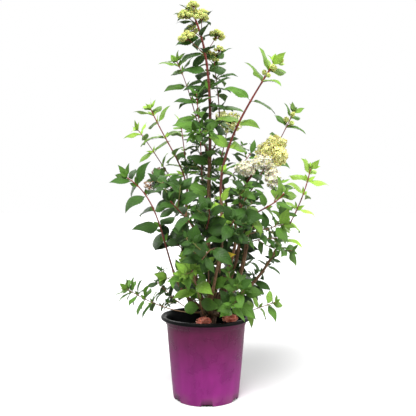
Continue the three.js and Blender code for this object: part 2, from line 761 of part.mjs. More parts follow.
// The leaf pairs of one stem, and the side twigs of its lower axils.
function addLeaves(mass, stem, limb, shoot, seed) {
  pairStations(limb.length, shoot).forEach((fromTip, k) => {
    if (k < (shoot.tuft ? 0 : 1)) return;
    const frame = limb.fromTip(fromTip);
    const pairSeed = seed + SEED.pair * k;
    const random = stream(pairSeed);
    const pairTurn = radians(shoot.turn) + QUARTER_TURN * k + STRAY.pair * aboutZero(random);
    const pair = [];
    for (let hand = 0; hand < 2; hand += 1) {
      const base = {
        turn: pairTurn + Math.PI * hand,
        lift: ofPair(PAIR_LIFT, k),
        size: shoot.leaf * ofPair(PAIR_SIZE, k),
        arch: ofPair(PAIR_ARCH, k),
      };
      const allowed = [stem, ...mass.stalks, ...pair];
      pair.push(...addLeaf(mass, allowed, frame, base, pairSeed + SEED.leaf * (hand + 1)));
    }
    for (let hand = 0; hand < 2; hand += 1) {
      const chance = random();
      if (k < 2 || chance > shoot.twigs) continue;
      const turn = pairTurn + Math.PI * hand;
      addTwig(mass, [stem, ...pair], frame, turn, shoot, pairSeed + SEED.twig * (hand + 1));
    }
  });
}

// A side twig from a leaf axil, with leaf pairs of its own.
function addTwig(mass, allowed, frame, turn, shoot, seed) {
  const random = stream(seed);
  const aim = leafAim(frame, turn + TWIG.stray * aboutZero(random), TWIG.lift, 0);
  const length = TWIG.length * (0.75 + 0.5 * random());
  const tip = combine([frame.point, 1], [aim.along, length], [UP, TWIG.rise * length]);
  const via = frame.point.clone().addScaledVector(aim.along, 0.5 * length);
  const limb = new Limb(frame.point, aim.along, via, tip, 2);
  const radii = [TWIG.radius, TWIG.taper * TWIG.radius];
  const grown = radii.map((radius) => radius + CLEAR);
  if (mass.limb.distanceTo(tip) > SPACE || touches(tube(limb, grown, 3, true), allowed)) return;
  const twig = stand(mass.name, tube(limb, radii, 3, true));
  mass.solids.push(twig.solid);
  const rule = {
    turn: THREE.MathUtils.radToDeg(turn) + 90,
    gap: TWIG.gap,
    leaf: TWIG.leaf * shoot.leaf,
    bare: TWIG.bare * length,
    twigs: 0,
  };
  addLeaves(mass, twig, limb, rule, seed + SEED.onTwig);
}

// A flat-topped knob of buds, sunk on the end of its stalk.
function budKnob(centre, facing, scale, random) {
  const knob = new THREE.IcosahedronGeometry(1, 0);
  knob.scale(BUD.radius * scale, BUD.radius * scale, BUD.height * scale);
  knob.applyQuaternion(new THREE.Quaternion().setFromUnitVectors(UP, facing));
  knob.rotateZ(random());
  knob.translate(centre.x, centre.y, centre.z);
  return solidOf(knob);
}

// A stalk with a bud knob at its end.
function addUmbel(mass, frame, turn, length, scale, random) {
  const aim = leafAim(frame, turn, BUD.lift, 0);
  const tip = frame.point.clone().addScaledVector(aim.along, length);
  const limb = new Limb(frame.point, aim.along, frame.point.clone().lerp(tip, 0.5), tip, 1);
  const stalk = tube(limb, [BUD.stalk, BUD.stalk], 3, true);
  const knob = budKnob(tip, aim.along.clone().lerp(UP, BUD.upright).normalize(), scale, random);
  if (touches(stalk, mass.items) || touches(knob, mass.items)) return;
  mass.stalks.push(stand(mass.name, stalk));
  mass.items.push(mass.stalks.at(-1), stand(mass.name, knob));
  mass.solids.push(stalk, knob);
}

// The closed panicle at a tip, with tiers of stalked knobs in the axils under it.
function addBuds(mass, limb, shoot) {
  const random = stream(mass.seed);
  for (let step = 0; step < Math.min(BUD.tips, 1 + shoot.umbels); step += 1) {
    const { point, along } = limb.fromTip(BUD.spacing * step);
    const knob = budKnob(point, along, 0.55 + 0.18 * step, random);
    if (touches(knob, mass.items)) continue;
    mass.items.push(stand(mass.name, knob));
    mass.solids.push(knob);
  }
  const stations = pairStations(limb.length, shoot);
  for (let tier = 1; tier <= shoot.umbels; tier += 1) {
    const frame = limb.fromTip(stations[tier]);
    for (let hand = 0; hand < 2; hand += 1) {
      const stray = STRAY.pair * aboutZero(random);
      const turn = radians(shoot.turn) + QUARTER_TURN * tier + Math.PI * hand + stray;
      addUmbel(mass, frame, turn, BUD.reach * (0.35 + 0.2 * tier), 0.66 + 0.12 * tier, random);
    }
  }
}

// The open panicle: lumpy lobes of florets on stalks from the shoot.
function addBloom(mass, limb) {
  const random = stream(mass.seed);
  LOBES.forEach(({ at, radii }) => {
    const centre = vector(at);
    const round = new THREE.IcosahedronGeometry(1, 1).deleteAttribute('normal').deleteAttribute('uv');
    const ball = mergeVertices(round);
    const corners = ball.attributes.position;
    const corner = new THREE.Vector3();
    for (let i = 0; i < corners.count; i += 1) {
      corner.fromBufferAttribute(corners, i).multiplyScalar(LOBE.core + LOBE.lumps * aboutZero(random));
      corners.setXYZ(i, ...corner.multiply(vector(radii)).add(centre));
    }
    const near = [0, 0.1, 0.2, 0.3, 0.4].map((share) => limb.fromTip(share * limb.length).point);
    near.sort((a, b) => a.distanceTo(centre) - b.distanceTo(centre));
    const halfway = near[0].clone().lerp(centre, 0.5);
    const stalk = new Limb(near[0], centre.clone().sub(near[0]).normalize(), halfway, centre, 1);
    const pieces = [solidOf(ball), tube(stalk, [2, 2], 3, true)];
    pieces.forEach((piece) => mass.solids.push(stand(mass.name, piece).solid));
  });
}

function build() {
  const pot = potSolid();
  const mix = mixSolid();
  const trunk = trunkSolid();
  stand('pot', pot);
  stand('potting_mix', mix);
  stand('trunk', trunk);
  addPart('pot', pot, MATERIALS.pot);
  addPart('potting_mix', mix, MATERIALS.mix);
  addPart('trunk', trunk, MATERIALS.bark);

  const canes = new Map();
  CANES.forEach((cane) => {
    const form = { ...cane, sides: CANE_SIDES, pointed: false };
    const { limb, solid } = seatedLimb(footOnKnuckle(cane.foot), trunk, form);
    canes.set(cane.name, { ...cane, limb, solid });
    warnOfTouch(cane.name, solid);
    stand(cane.name, solid);
    addPart(cane.name, solid, MATERIALS.bark);
  });

  const masses = SHOOTS.map((shoot, index) => {
    const carrier = shoot.foot ? trunk : canes.get(shoot.cane).solid;
    const radii = [shoot.radius, Math.max(STEM.thinnest, STEM.taper * shoot.radius)];
    const form = { ...shoot, radii, sides: STEM.sides, pointed: true };
    const { limb, solid } = seatedLimb(shootStart(shoot, canes), carrier, form);
    warnOfTouch(shoot.name, solid);
    const stem = stand(shoot.name, solid);
    const seed = SEED.shoot * (index + 1);
    return { name: shoot.name, shoot, limb, stem, items: [stem], stalks: [], solids: [solid], seed };
  });
  masses.filter(({ shoot }) => shoot.lobes).forEach((mass) => addBloom(mass, mass.limb));
  const budded = masses.filter(({ shoot }) => shoot.umbels !== undefined);
  budded.forEach((mass) => addBuds(mass, mass.limb, mass.shoot));
  masses.forEach((mass) => {
    addLeaves(mass, mass.stem, mass.limb, mass.shoot, mass.seed);
    addPart(mass.name, fuse(mass.solids), MATERIALS.foliage);
  });
}

build();

export default group;
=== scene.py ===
"""A panicle hydrangea in a nursery pot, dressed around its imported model.

The crown grows again here by the model's own rule, in millimetres, and is then carried to finer twigs within
the same reach. Meshes are in metres, +Z up, with the photographed front facing -Y.
"""

import logging
from collections.abc import Callable, Iterable, Sequence
from dataclasses import dataclass, field, replace
from enum import Enum, IntEnum
from math import cos, degrees, exp, floor, hypot, inf, pi, radians, sin, sqrt

import bmesh
import bpy
import numpy as np
from bpy.types import Material, Node, NodeInputs, NodeOutputs, NodeSocket, NodeTree, Object
from mathutils import Matrix, Quaternion, Vector, noise
from mathutils.bvhtree import BVHTree


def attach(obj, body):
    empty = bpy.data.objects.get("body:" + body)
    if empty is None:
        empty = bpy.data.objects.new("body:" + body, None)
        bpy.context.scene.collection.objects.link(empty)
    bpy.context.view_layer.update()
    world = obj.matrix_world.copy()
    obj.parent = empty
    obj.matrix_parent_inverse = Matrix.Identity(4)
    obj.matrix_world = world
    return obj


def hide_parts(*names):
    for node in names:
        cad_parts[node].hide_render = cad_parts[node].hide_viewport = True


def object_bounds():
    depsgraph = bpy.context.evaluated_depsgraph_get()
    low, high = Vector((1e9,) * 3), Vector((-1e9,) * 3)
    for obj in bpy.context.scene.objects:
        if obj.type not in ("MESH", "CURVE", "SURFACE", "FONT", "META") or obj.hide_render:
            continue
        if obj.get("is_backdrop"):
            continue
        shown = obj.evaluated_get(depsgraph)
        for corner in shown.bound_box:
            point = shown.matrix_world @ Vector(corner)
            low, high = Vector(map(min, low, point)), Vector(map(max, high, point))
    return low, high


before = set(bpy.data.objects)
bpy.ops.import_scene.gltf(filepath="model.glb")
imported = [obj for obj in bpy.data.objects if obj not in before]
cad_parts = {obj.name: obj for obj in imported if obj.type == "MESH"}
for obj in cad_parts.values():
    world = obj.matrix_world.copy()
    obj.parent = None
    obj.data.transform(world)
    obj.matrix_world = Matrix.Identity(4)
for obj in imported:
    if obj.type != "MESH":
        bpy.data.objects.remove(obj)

CAD_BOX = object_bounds()
log = logging.getLogger("hydrangea")

MM = 0.001
BODY = "root"
UP = Vector((0, 0, 1))
ACROSS = Vector((1, 0, 0))
AHEAD = Vector((0, 1, 0))
FULL_TURN = 2 * pi
QUARTER_TURN = pi / 2
ANY_PHASE = 6.28
Pair = tuple[float, float]
Triple = tuple[float, float, float]
Colour = tuple[float, float, float, float]
Faces = list[tuple[int, ...]]
Faceted = tuple[list[Vector], Faces]
Grid = tuple[np.ndarray, np.ndarray, np.ndarray]
Values = float | np.ndarray
Materials = dict[str, Material]


def srgb(red: int, green: int, blue: int) -> Colour:
    """Gives the linear colour of a screen colour.

    Args:
        red, green, blue: The screen colour's values from 0 to 255.

    Returns:
        The linear red, green and blue, and full alpha.
    """
    shares = [value / 255 for value in (red, green, blue)]
    linear = [share / 12.92 if share <= 0.04045 else ((share + 0.055) / 1.055) ** 2.4 for share in shares]
    return (*linear, 1.0)


# The crown's sizes, in millimetres, degrees and radians, as in the model.


class Tone(Enum):
    """The greens that a shoot's leaves are dealt, numbered as their finishes on a piece."""

    DARK = 0
    MID = 1
    LIGHT = 2
    LIME = 3
    YELLOW = 4
    # The last green is painted shade, for leaves deep inside the crown.
    DEEP = 5


DARK, MID, LIGHT, LIME, YELLOW, DEEP = Tone


@dataclass(frozen=True)
class LeafingRule:
    """What leaf pairs on one stem need: a shoot's values, or a twig's."""

    turn: float
    gap: float
    leaf: float
    bare: float
    twigs: float
    bare_top: float = 0.0
    tuft: bool = False

    def stations(self, length: float) -> list[float]:
        """Gives the distances from the tip at which a stem of a length bears its pairs.

        Args:
            length: The stem's length.

        Returns:
            The distances, from the tip down.
        """
        stations = []
        from_tip = self.bare_top + self.gap * PAIR.gap[0]
        while from_tip < length - self.bare:
            stations.append(from_tip)
            from_tip += self.gap * of_pair(PAIR.gap, len(stations))
        return stations


@dataclass(frozen=True)
class Cane:
    """One old cane: the azimuth and climb of its foot on the knuckle, its tip and its two radii."""

    name: str
    foot: Pair
    tip: Triple
    radii: Pair


@dataclass(frozen=True)
class Shoot:
    """One leafy shoot. It goes on from a cane's tip, leaves a cane's side, or has a foot on the knuckle."""

    name: str
    tip: Triple
    radius: float
    bare: float
    gap: float
    leaf: float
    turn: float
    twigs: float
    cane: str = ""
    foot: Pair | None = None
    side: Triple | None = None
    via: Triple | None = None
    bare_top: float = 0.0
    umbels: int = -1
    tuft: bool = False
    lobes: bool = False
    tone: Tone = MID
    fine: float = 0.0
    sprigs: int = 0
    whorl: float = 0.0

    @property
    def rule(self) -> LeafingRule:
        """Gives the rule that its leaf pairs follow."""
        return LeafingRule(self.turn, self.gap, self.leaf, self.bare, self.twigs, self.bare_top, self.tuft)

    @property
    def shaded(self) -> int:
        """Gives the pairs that its leaves count as older, so that a shoot in the shade isn't so pale."""
        return 0 if self.tuft else 2


CANES = (
    Cane("cane_leader", (100, 80), (10, 5, 635), (6.5, 4.6)),
    Cane("cane_right_tall", (-60, 62), (38, -35, 520), (5.2, 3.9)),
    Cane("cane_bloom", (-8, 52), (88, -10, 498), (5.2, 3.9)),
    Cane("cane_far_right", (-12, 24), (181, -15, 382), (4.6, 3.3)),
    Cane("cane_pruned", (-38, 30), (103, -55, 408), (6, 5)),
    Cane("cane_arch", (-66, 35), (76, -95, 422), (4.5, 3.4)),
    Cane("cane_far_left", (-165, 28), (-83, -45, 331), (4.5, 3.4)),
    Cane("cane_left", (150, 55), (-52, 50, 520), (5, 3.6)),
    Cane("cane_back_left", (126, 32), (-55, 130, 510), (4.6, 3.3)),
    Cane("cane_back", (90, 50), (-9, 85, 538), (4.6, 3.3)),
    Cane("cane_back_right", (55, 38), (45, 130, 568), (4.8, 3.4)),
    Cane("cane_rear", (88, 14), (26, 170, 438), (4.6, 3.3)),
    Cane("cane_front_left", (-118, 38), (-23, -115, 411), (4.6, 3.3)),
    Cane("cane_front_right", (-92, 12), (38, -130, 400), (4.6, 3.3)),
)

SHOOTS = (
    Shoot("leader_top", (-43, 0, 1012), 4.2, 40, 46, 74, 28, 0, "cane_leader", via=(30, 2, 880),
          bare_top=12, umbels=4, tuft=True, tone=DARK, fine=0.3, whorl=1.0),
    Shoot("leader_left_high", (-78, 26, 878), 2.4, 90, 44, 68, 40, 0, "cane_leader",
          side=(-0.35, 0.55, 0.75), via=(-18, 30, 760), tuft=True, fine=0.3),
    Shoot("leader_left", (-24, -30, 780), 2.4, 10, 32, 70, 50, 0, "cane_leader", side=(-0.5, -0.45, 0.75),
          via=(-16, -22, 690), fine=0.8),
    Shoot("leader_twin", (20, 25, 895), 2.6, 40, 40, 72, 50, 0, "cane_leader", side=(0.45, 0.4, 0.75),
          via=(30, 30, 760), umbels=1, fine=0.4, whorl=0.7),
    Shoot("right_tall", (170, -60, 850), 3.7, 30, 66, 78, 42, 0, "cane_right_tall", via=(75, -48, 700),
          tuft=True, tone=LIGHT, sprigs=7, whorl=0.4),
    Shoot("bloom_head", (172, -28, 650), 3.6, 20, 40, 62, 60, 0, "cane_bloom", via=(118, -16, 560),
          bare_top=86, lobes=True, tone=DARK, fine=0.3),
    Shoot("bloom_shoot", (235, 30, 746), 2.6, 40, 56, 62, 48, 0, "cane_bloom", side=(0.5, 0.5, 0.7),
          via=(165, 44, 600), tuft=True, sprigs=6),
    Shoot("far_right", (272, -5, 592), 3, 20, 44, 70, 46, 0, "cane_far_right", via=(243, -10, 452),
          tuft=True, tone=LIME),
    Shoot("far_right_low", (218, -42, 380), 1.8, 6, 24, 52, 10, 0.2, "cane_far_right",
          side=(0.75, -0.5, 0.25), fine=0.2),
    Shoot("pruned_up", (140, 5, 462), 2.2, 10, 34, 50, 0, 0.2, "cane_pruned", side=(0.2, 0.65, 0.7),
          fine=0.5),
    Shoot("pruned_right", (178, -72, 414), 2.2, 10, 30, 46, 20, 0.1, "cane_pruned", side=(0.85, -0.3, 0.35),
          fine=0.5),
    Shoot("arch_right", (186, -126, 524), 3.1, 20, 36, 64, 40, 0.1, "cane_arch", via=(148, -116, 462),
          tone=LIGHT, fine=0.2),
    Shoot("arch_low", (192, -78, 448), 2.4, 14, 28, 62, 30, 0.1, "cane_arch", side=(0.85, 0.3, 0.3),
          tuft=True, fine=0.3),
    Shoot("arch_up", (100, -130, 520), 2.4, 12, 34, 62, 20, 0.15, "cane_arch", side=(-0.2, -0.55, 0.8),
          fine=0.4),
    Shoot("far_left", (-198, -62, 564), 3.1, 60, 42, 74, 40, 0, "cane_far_left", via=(-88, -52, 500),
          tuft=True, tone=DARK),
    Shoot("left_tall", (-152, 70, 760), 3.3, 20, 56, 70, 44, 0, "cane_left", via=(-88, 56, 615), tuft=True,
          tone=LIGHT),
    Shoot("left_mid", (-192, 104, 708), 2.4, 30, 50, 60, 36, 0, "cane_left", side=(-0.6, 0.35, 0.7),
          via=(-108, 82, 600), tuft=True, tone=LIGHT),
    Shoot("left_inner", (-120, -5, 560), 2.3, 10, 32, 62, 30, 0.15, "cane_left", side=(-0.6, -0.55, 0.5),
          tone=DARK, fine=0.4),
    Shoot("back_left", (-74, 165, 738), 2.9, 20, 54, 62, 40, 0, "cane_back_left", via=(-62, 148, 620),
          umbels=0, tuft=True, tone=LIGHT, fine=0.1, sprigs=2),
    Shoot("spent_panicle", (-140, 138, 566), 2.2, 10, 34, 52, 0, 0, "cane_back_left",
          side=(-0.75, 0.1, 0.6), umbels=1, fine=0.2),
    Shoot("back_tall", (-17, 112, 694), 2.9, 10, 40, 62, 20, 0.15, "cane_back", via=(-12, 98, 610),
          tone=DARK, fine=0.7),
    Shoot("back_bloom", (66, 168, 745), 2.9, 10, 42, 60, 45, 0, "cane_back_right", via=(55, 150, 650),
          umbels=2, fine=0.4),
    Shoot("back_right", (138, 190, 660), 2.4, 14, 42, 60, 30, 0.2, "cane_back_right", side=(0.75, 0.3, 0.6),
          fine=0.3),
    Shoot("rear_mid", (0, 238, 575), 2.9, 12, 38, 62, 45, 0.12, "cane_rear", via=(14, 205, 480), fine=0.4),
    Shoot("rear_right", (116, 236, 505), 2.5, 12, 36, 60, 60, 0.15, "cane_rear", side=(0.75, 0.4, 0.5),
          tone=LIGHT, fine=0.4),
    Shoot("rear_left", (-88, 236, 480), 2.5, 12, 36, 60, 30, 0.15, "cane_rear", side=(-0.75, 0.4, 0.5),
          fine=0.4),
    Shoot("front_left", (-82, -160, 505), 2.9, 8, 32, 70, 45, 0.2, "cane_front_left", via=(-45, -140, 455),
          tone=DARK, fine=0.3),
    Shoot("front_mid", (8, -158, 488), 2.4, 10, 30, 68, 20, 0.2, "cane_front_left", side=(0.65, -0.3, 0.65),
          tone=DARK, fine=0.3),
    Shoot("front_right", (64, -190, 462), 2.9, 8, 28, 66, 45, 0.2, "cane_front_right", via=(52, -165, 430),
          tone=DARK, fine=0.3),
    Shoot("front_centre", (-8, -196, 372), 2.4, 8, 28, 64, 70, 0.2, "cane_front_right",
          side=(-0.6, -0.7, 0.25), tone=DARK, fine=0.3),
    Shoot("front_low", (-34, -142, 345), 2.8, 50, 26, 74, 40, 0.12, foot=(-108, -6), via=(2, -95, 240),
          tone=LIGHT, fine=0.5),
    Shoot("low_left", (-210, 20, 274), 2.3, 110, 22, 50, 45, 0.1, foot=(-178, -2), via=(-125, 8, 226),
          tuft=True, fine=0.3, whorl=1.0),
    Shoot("low_left_back", (-136, 92, 282), 2, 70, 24, 50, 45, 0.15, foot=(152, -3), via=(-80, 55, 236),
          tone=DARK, fine=0.5),
    Shoot("low_right", (172, -76, 256), 2.1, 84, 28, 50, 50, 0, foot=(-34, -6), via=(98, -48, 226),
          tone=LIGHT),
    Shoot("low_right_back", (132, 64, 292), 2.2, 60, 24, 54, 30, 0.2, foot=(34, -6), via=(80, 45, 262),
          tone=DARK, fine=0.4),
    Shoot("low_front_right", (92, -112, 292), 2.4, 50, 26, 62, 30, 0.2, foot=(-62, -8), via=(58, -78, 236),
          fine=0.1),
    Shoot("low_back", (-30, 182, 318), 2.4, 70, 28, 62, 30, 0.12, foot=(112, -8), via=(-22, 110, 240),
          fine=0.4),
    Shoot("low_back_right", (110, 165, 320), 2.4, 70, 28, 62, 60, 0.12, foot=(64, -8), via=(62, 98, 240),
          fine=0.4),
    Shoot("right_mid", (176, 34, 352), 2.4, 50, 30, 56, 45, 0.12, foot=(8, 4), via=(95, 15, 262), tone=DARK,
          fine=0.7),
    # The four core shoots take the painted shade green.
    Shoot("core_left", (-66, -42, 412), 2.8, 40, 30, 72, 30, 0.2, foot=(-178, 18), via=(-45, -12, 300),
          tone=DEEP, fine=0.1),
    Shoot("core_front", (6, -74, 440), 2.8, 40, 30, 72, 60, 0.2, foot=(-92, 40), via=(4, -60, 320),
          tone=DEEP, fine=0.5),
    Shoot("core_right", (98, 48, 440), 2.8, 40, 32, 68, 45, 0.12, foot=(30, 58), via=(45, 30, 330),
          tone=DEEP, fine=0.9),
    Shoot("core_back", (-56, 88, 420), 2.8, 40, 32, 68, 45, 0.15, foot=(162, 28), via=(-38, 50, 320),
          tone=DEEP, fine=0.5),
)


@dataclass(frozen=True)
class Knuckle:
    """The swollen top of the trunk, which the canes leave, and the trunk's profile down to its cut."""

    centre: Triple = (10, 0, 216)
    radius: float = 24
    lean: Pair = (-4, 2)
    foot: float = 170.3
    flare_radius: float = 27
    neck_radius: float = 18
    neck_height: float = 190


@dataclass(frozen=True)
class Strays:
    """How often a leaf is tried, and how far it strays: further at each try, on a shorter leaf."""

    tries: int
    turn: float
    lift: float
    roll: float
    size: float
    arch: float = 0.0
    more_roll: int = 0
    shrink: float = 0.0


@dataclass(frozen=True)
class LeafRule:
    """A leaf's proportions, the gap kept round it, and how far it strays from its rule."""

    widest: float = 0.38
    shoulder: float = 0.72
    shoulder_width: float = 0.72
    middle: float = 0.52
    width: float = 0.54
    thickness: float = 0.018
    fold: float = 0.28
    plain_below: float = 46
    clear: float = 0.5
    space: float = 118
    stray_pair: float = 0.2
    probe: float = 0.6
    strays: Strays = Strays(4, 0.16, 0.12, 0.32, 0.1, 0.3, 1, 0.05)


@dataclass(frozen=True)
class PairRule:
    """How leaf size, internode, lift and arch change from a shoot's tip down, one value for each pair."""

    size: tuple[float, ...] = (0.58, 0.84, 0.96, 1)
    gap: tuple[float, ...] = (0.12, 0.28, 0.46, 0.8, 1)
    lift: tuple[float, ...] = (0.5, 0.8, 1.0, 1.15)
    arch: tuple[float, ...] = (0.35, 0.6, 0.85, 1.0)


@dataclass(frozen=True)
class TwigRule:
    """A side twig's sizes."""

    radius: float = 1.5
    taper: float = 0.7
    length: float = 58
    length_shares: Pair = (0.75, 0.5)
    gap: float = 46
    leaf: float = 0.9
    lift: float = 0.8
    stray: float = 0.3
    rise: float = 0.15
    bare: float = 0.2


@dataclass(frozen=True)
class BudRule:
    """The sizes of the flat bud knobs, their stalks and the small sprigs, with what each tier adds."""

    radius: float = 18
    height: float = 9
    lift: float = 0.72
    upright: float = 0.6
    reach: float = 58
    spacing: float = 11
    tips: int = 3
    tip_scale: Pair = (0.55, 0.18)
    tier_scale: Pair = (0.66, 0.12)
    tier_reach: Pair = (0.35, 0.2)
    sprig_spacing: float = 22
    sprig_reach: float = 17
    sprig_scale: float = 0.36
    sprig_turn: float = 1.5
    sprig_stray: float = 0.4
    sprig_lift: Pair = (0.45, 0.3)
    sprig_spread: Pair = (0.8, 0.4)
    sprig_upright: float = 0.5


@dataclass(frozen=True)
class TuftRule:
    """The small young leaves round each tip and in the axils, as shares of a full leaf, and their strays."""

    sizes: Triple = (0.48, 0.36, 0.24)
    lifts: Triple = (0.9, 0.55, 0.22)
    below_tip: float = 1.5
    below_buds: float = 16
    axil_size: float = 0.36
    axil_lift: float = 0.5
    axil_share: float = 0.75
    arch: float = 0.5
    under_buds: int = 1
    strays: Strays = Strays(3, 0.25, 0.15, 0.4, 0.15)


@dataclass(frozen=True)
class SeedSteps:
    """The steps between the seeds of a shoot, its pairs, and the leaves and twigs of a pair."""

    shoot: int = 1000
    pair: int = 97
    leaf: int = 31
    twig: int = 53
    on_twig: int = 7
    blade: int = 3
    tint: int = 5
    green: int = 11
    fine: int = 500
    tuft: int = 700
    again: int = 17
    sprig: int = 900
    whorl: int = 1300
    cane: int = 450


KNUCKLE = Knuckle()
LEAF = LeafRule()
PAIR = PairRule()
TWIG = TwigRule()
FINE_TWIG = TwigRule(radius=1.1, length=42, gap=26, leaf=0.62, lift=0.95, stray=0.7)
FINE_TRIES = 4
FINE_LEVELS = 2
BUD = BudRule()
TUFT = TuftRule()
SEED = SeedSteps()

SEAT = 0.3
TO_LIGHT = Vector((0, -0.76, 0.65))
FACING_ALONG = 0.25
FACING_LIGHT = 0.8
FACING_RADIAL = 0.4
FACING_REACH = 150
REACH = 0.45
STRETCH = 55
SIDE_BELOW_TIP = 9
THINNEST_STEM = 1.1
STEM_TAPER = 0.4
STEM_SIDES = 3
CANE_SIDES = 6
LUMP = 0.2
LUMP_FINENESS = 1.9


@dataclass(frozen=True)
class Clearing:
    """A space that the leaves leave open to view, as in the photograph."""

    at: Triple
    radii: Triple

    def holds(self, point: Vector) -> bool:
        """Tells whether a point is in the clearing."""
        offset = point - Vector(self.at)
        return sum((value / radius) ** 2 for value, radius in zip(offset, self.radii)) < 1


CLEARINGS = (
    Clearing((168, -95, 570), (22, 42, 26)),
    Clearing((-62, -88, 222), (44, 46, 26)),
    Clearing((-6, -118, 214), (34, 54, 24)),
    Clearing((58, -108, 216), (24, 50, 20)),
    Clearing((-85, 10, 348), (22, 200, 58)),
)


def in_clearing(*points: Vector) -> bool:
    """Tells whether any of the points is in a clearing."""
    return any(clearing.holds(point) for clearing in CLEARINGS for point in points)


@dataclass(frozen=True)
class CanePairs:
    """Leaf pairs on a cane's upper joints, dealt to the mass that goes on from it or stands by it."""

    cane: str
    mass: str
    gap: float
    leaf: float
    turn: float
    reach: float


CANE_PAIRS = (
    CanePairs("cane_leader", "leader_left", 44, 66, 20, 120),
    CanePairs("cane_right_tall", "right_tall", 44, 62, 30, 76),
    CanePairs("cane_back", "back_tall", 40, 60, 70, 110),
    CanePairs("cane_left", "left_tall", 44, 58, 10, 110),
    CanePairs("cane_back_right", "back_bloom", 42, 58, 40, 110),
    CanePairs("cane_bloom", "core_right", 30, 58, 20, 200),
    CanePairs("cane_back_right", "core_right", 34, 60, 20, 330),
)


@dataclass(frozen=True)
class Lobe:
    """One lobe of the open panicle: its middle, its half sizes, and the share of cream in its florets."""

    at: Triple
    radii: Triple
    cream: float


LOBES = (
    Lobe((180, -28, 655), (26, 20, 17), 0.0),
    Lobe((184, -32, 622), (21, 24, 28), 0.1),
    Lobe((150, -30, 632), (23, 22, 19), 0.15),
    Lobe((145, -42, 604), (28, 22, 19), 0.5),
    Lobe((100, -40, 588), (26, 23, 18), 1.0),
    Lobe((168, -44, 566), (19, 21, 29), 0.85),
)
LOBE_FEET = (0, 0.1, 0.2, 0.3, 0.4)
FALLEN_AT = ((-5, -76, 209), (60, -76, 216))
FALLEN_STALK = ((24, -70, 240), (58, -76, 216))


# Growth by the model's rule.


class Stream:
    """A repeatable stream of numbers, the same as the model's for the same seed."""

    BITS = 0xFFFFFFFF
    STEP = 0x6D2B79F5

    def __init__(self, seed: int) -> None:
        """Starts the stream at a seed."""
        self.state = seed & self.BITS

    def share(self) -> float:
        """Gives the next number from 0 to 1.

        Returns:
            The number.
        """
        self.state = (self.state + self.STEP) & self.BITS
        mixed = ((self.state ^ (self.state >> 15)) * (self.state | 1)) & self.BITS
        folded = ((mixed ^ (mixed >> 7)) * (mixed | 61)) & self.BITS
        mixed ^= (mixed + folded) & self.BITS
        return (mixed ^ (mixed >> 14)) / (self.BITS + 1)

    def sway(self) -> float:
        """Gives the next number from -1 to 1."""
        return self.share() * 2 - 1


@dataclass(frozen=True)
class Ring:
    """One ring of a swept tube: its middle, two square directions and its radius."""

    point: Vector
    side: Vector
    front: Vector
    radius: float


@dataclass(frozen=True)
class Spot:
    """A place on a limb: its point, the limb's direction, two square directions, and the curve's point."""

    point: Vector
    along: Vector
    side: Vector
    front: Vector
    curve_point: Vector

    def ring(self, radius: float, back: float = 0.0) -> Ring:
        """Gives the ring of a tube round the limb here, or a distance back from here."""
        return Ring(self.point - self.along * back, self.side, self.front, radius)


class Limb:
    """The middle line of one limb: it leaves its start along a direction and comes to its tip from via."""

    def __init__(self, start: Vector, out: Vector, via: Vector, tip: Vector, steps: int) -> None:
        """Lays the curve and its rings.

        Args:
            start: The foot's middle.
            out: The direction the limb leaves its foot in.
            via: The point the limb comes to its tip from.
            tip: The end point.
            steps: The number of straight stretches.
        """
        rise = start + out * ((2 / 3) * (start - via).length)
        self.poles = (start, rise, tip.lerp(via, 2 / 3), tip)
        chord = tip - start
        level = chord.cross(UP)
        self.reference = level.normalized() if level.length > 0.25 * chord.length else ACROSS.copy()
        self.steps = steps
        self.rings = [self.at(i / steps) for i in range(steps + 1)]
        self.reaches = [0.0]
        for low, high in zip(self.rings, self.rings[1:]):
            self.reaches.append(self.reaches[-1] + (high.point - low.point).length)
        self.length = self.reaches[-1]
        self.tip = self.rings[-1]

    def curve(self, share: float) -> Vector:
        """Gives the point at a share of the curve.

        Args:
            share: From 0 at the start to 1 at the tip.

        Returns:
            The point.
        """
        a, b, c, d = self.poles
        rest = 1 - share
        return a * rest**3 + b * (3 * rest**2 * share) + c * (3 * rest * share**2) + d * share**3

    def framed(self, point: Vector, along: Vector, curve_point: Vector) -> Spot:
        """Gives the spot at a point, with square directions from the limb's reference."""
        side = (self.reference - along * self.reference.dot(along)).normalized()
        return Spot(point, along, side, along.cross(side), curve_point)

    def at(self, share: float) -> Spot:
        """Gives the spot at a share of the curve.

        Args:
            share: From 0 at the start to 1 at the tip.

        Returns:
            The spot, with its frame.
        """
        a, b, c, d = self.poles
        rest = 1 - share
        slope = (b - a) * rest**2 + (c - b) * (2 * rest * share) + (d - c) * share**2
        point = self.curve(share)
        return self.framed(point, slope.normalized(), point)

    def from_tip(self, distance: float) -> Spot:
        """Gives the spot at a distance back from the tip along the straight stretches.

        Args:
            distance: How far back from the tip it is.

        Returns:
            The spot, with its frame.
        """
        reach = max(0.0, self.length - distance)
        upper = max(1, next(i for i, value in enumerate(self.reaches) if value >= reach - 1e-6))
        low, high = self.rings[upper - 1].point, self.rings[upper].point
        share = (reach - self.reaches[upper - 1]) / (self.reaches[upper] - self.reaches[upper - 1])
        on_curve = self.curve((upper - 1 + share) / self.steps)
        return self.framed(low.lerp(high, share), (high - low).normalized(), on_curve)

    def distance_to(self, point: Vector) -> float:
        """Gives how far a point is from the middle line.

        Args:
            point: The point.

        Returns:
            The distance.
        """
        nearest = inf
        for low, high in zip(self.rings, self.rings[1:]):
            line = high.point - low.point
            share = min(1.0, max(0.0, (point - low.point).dot(line) / line.length_squared))
            nearest = min(nearest, (point - low.point - line * share).length)
        return nearest


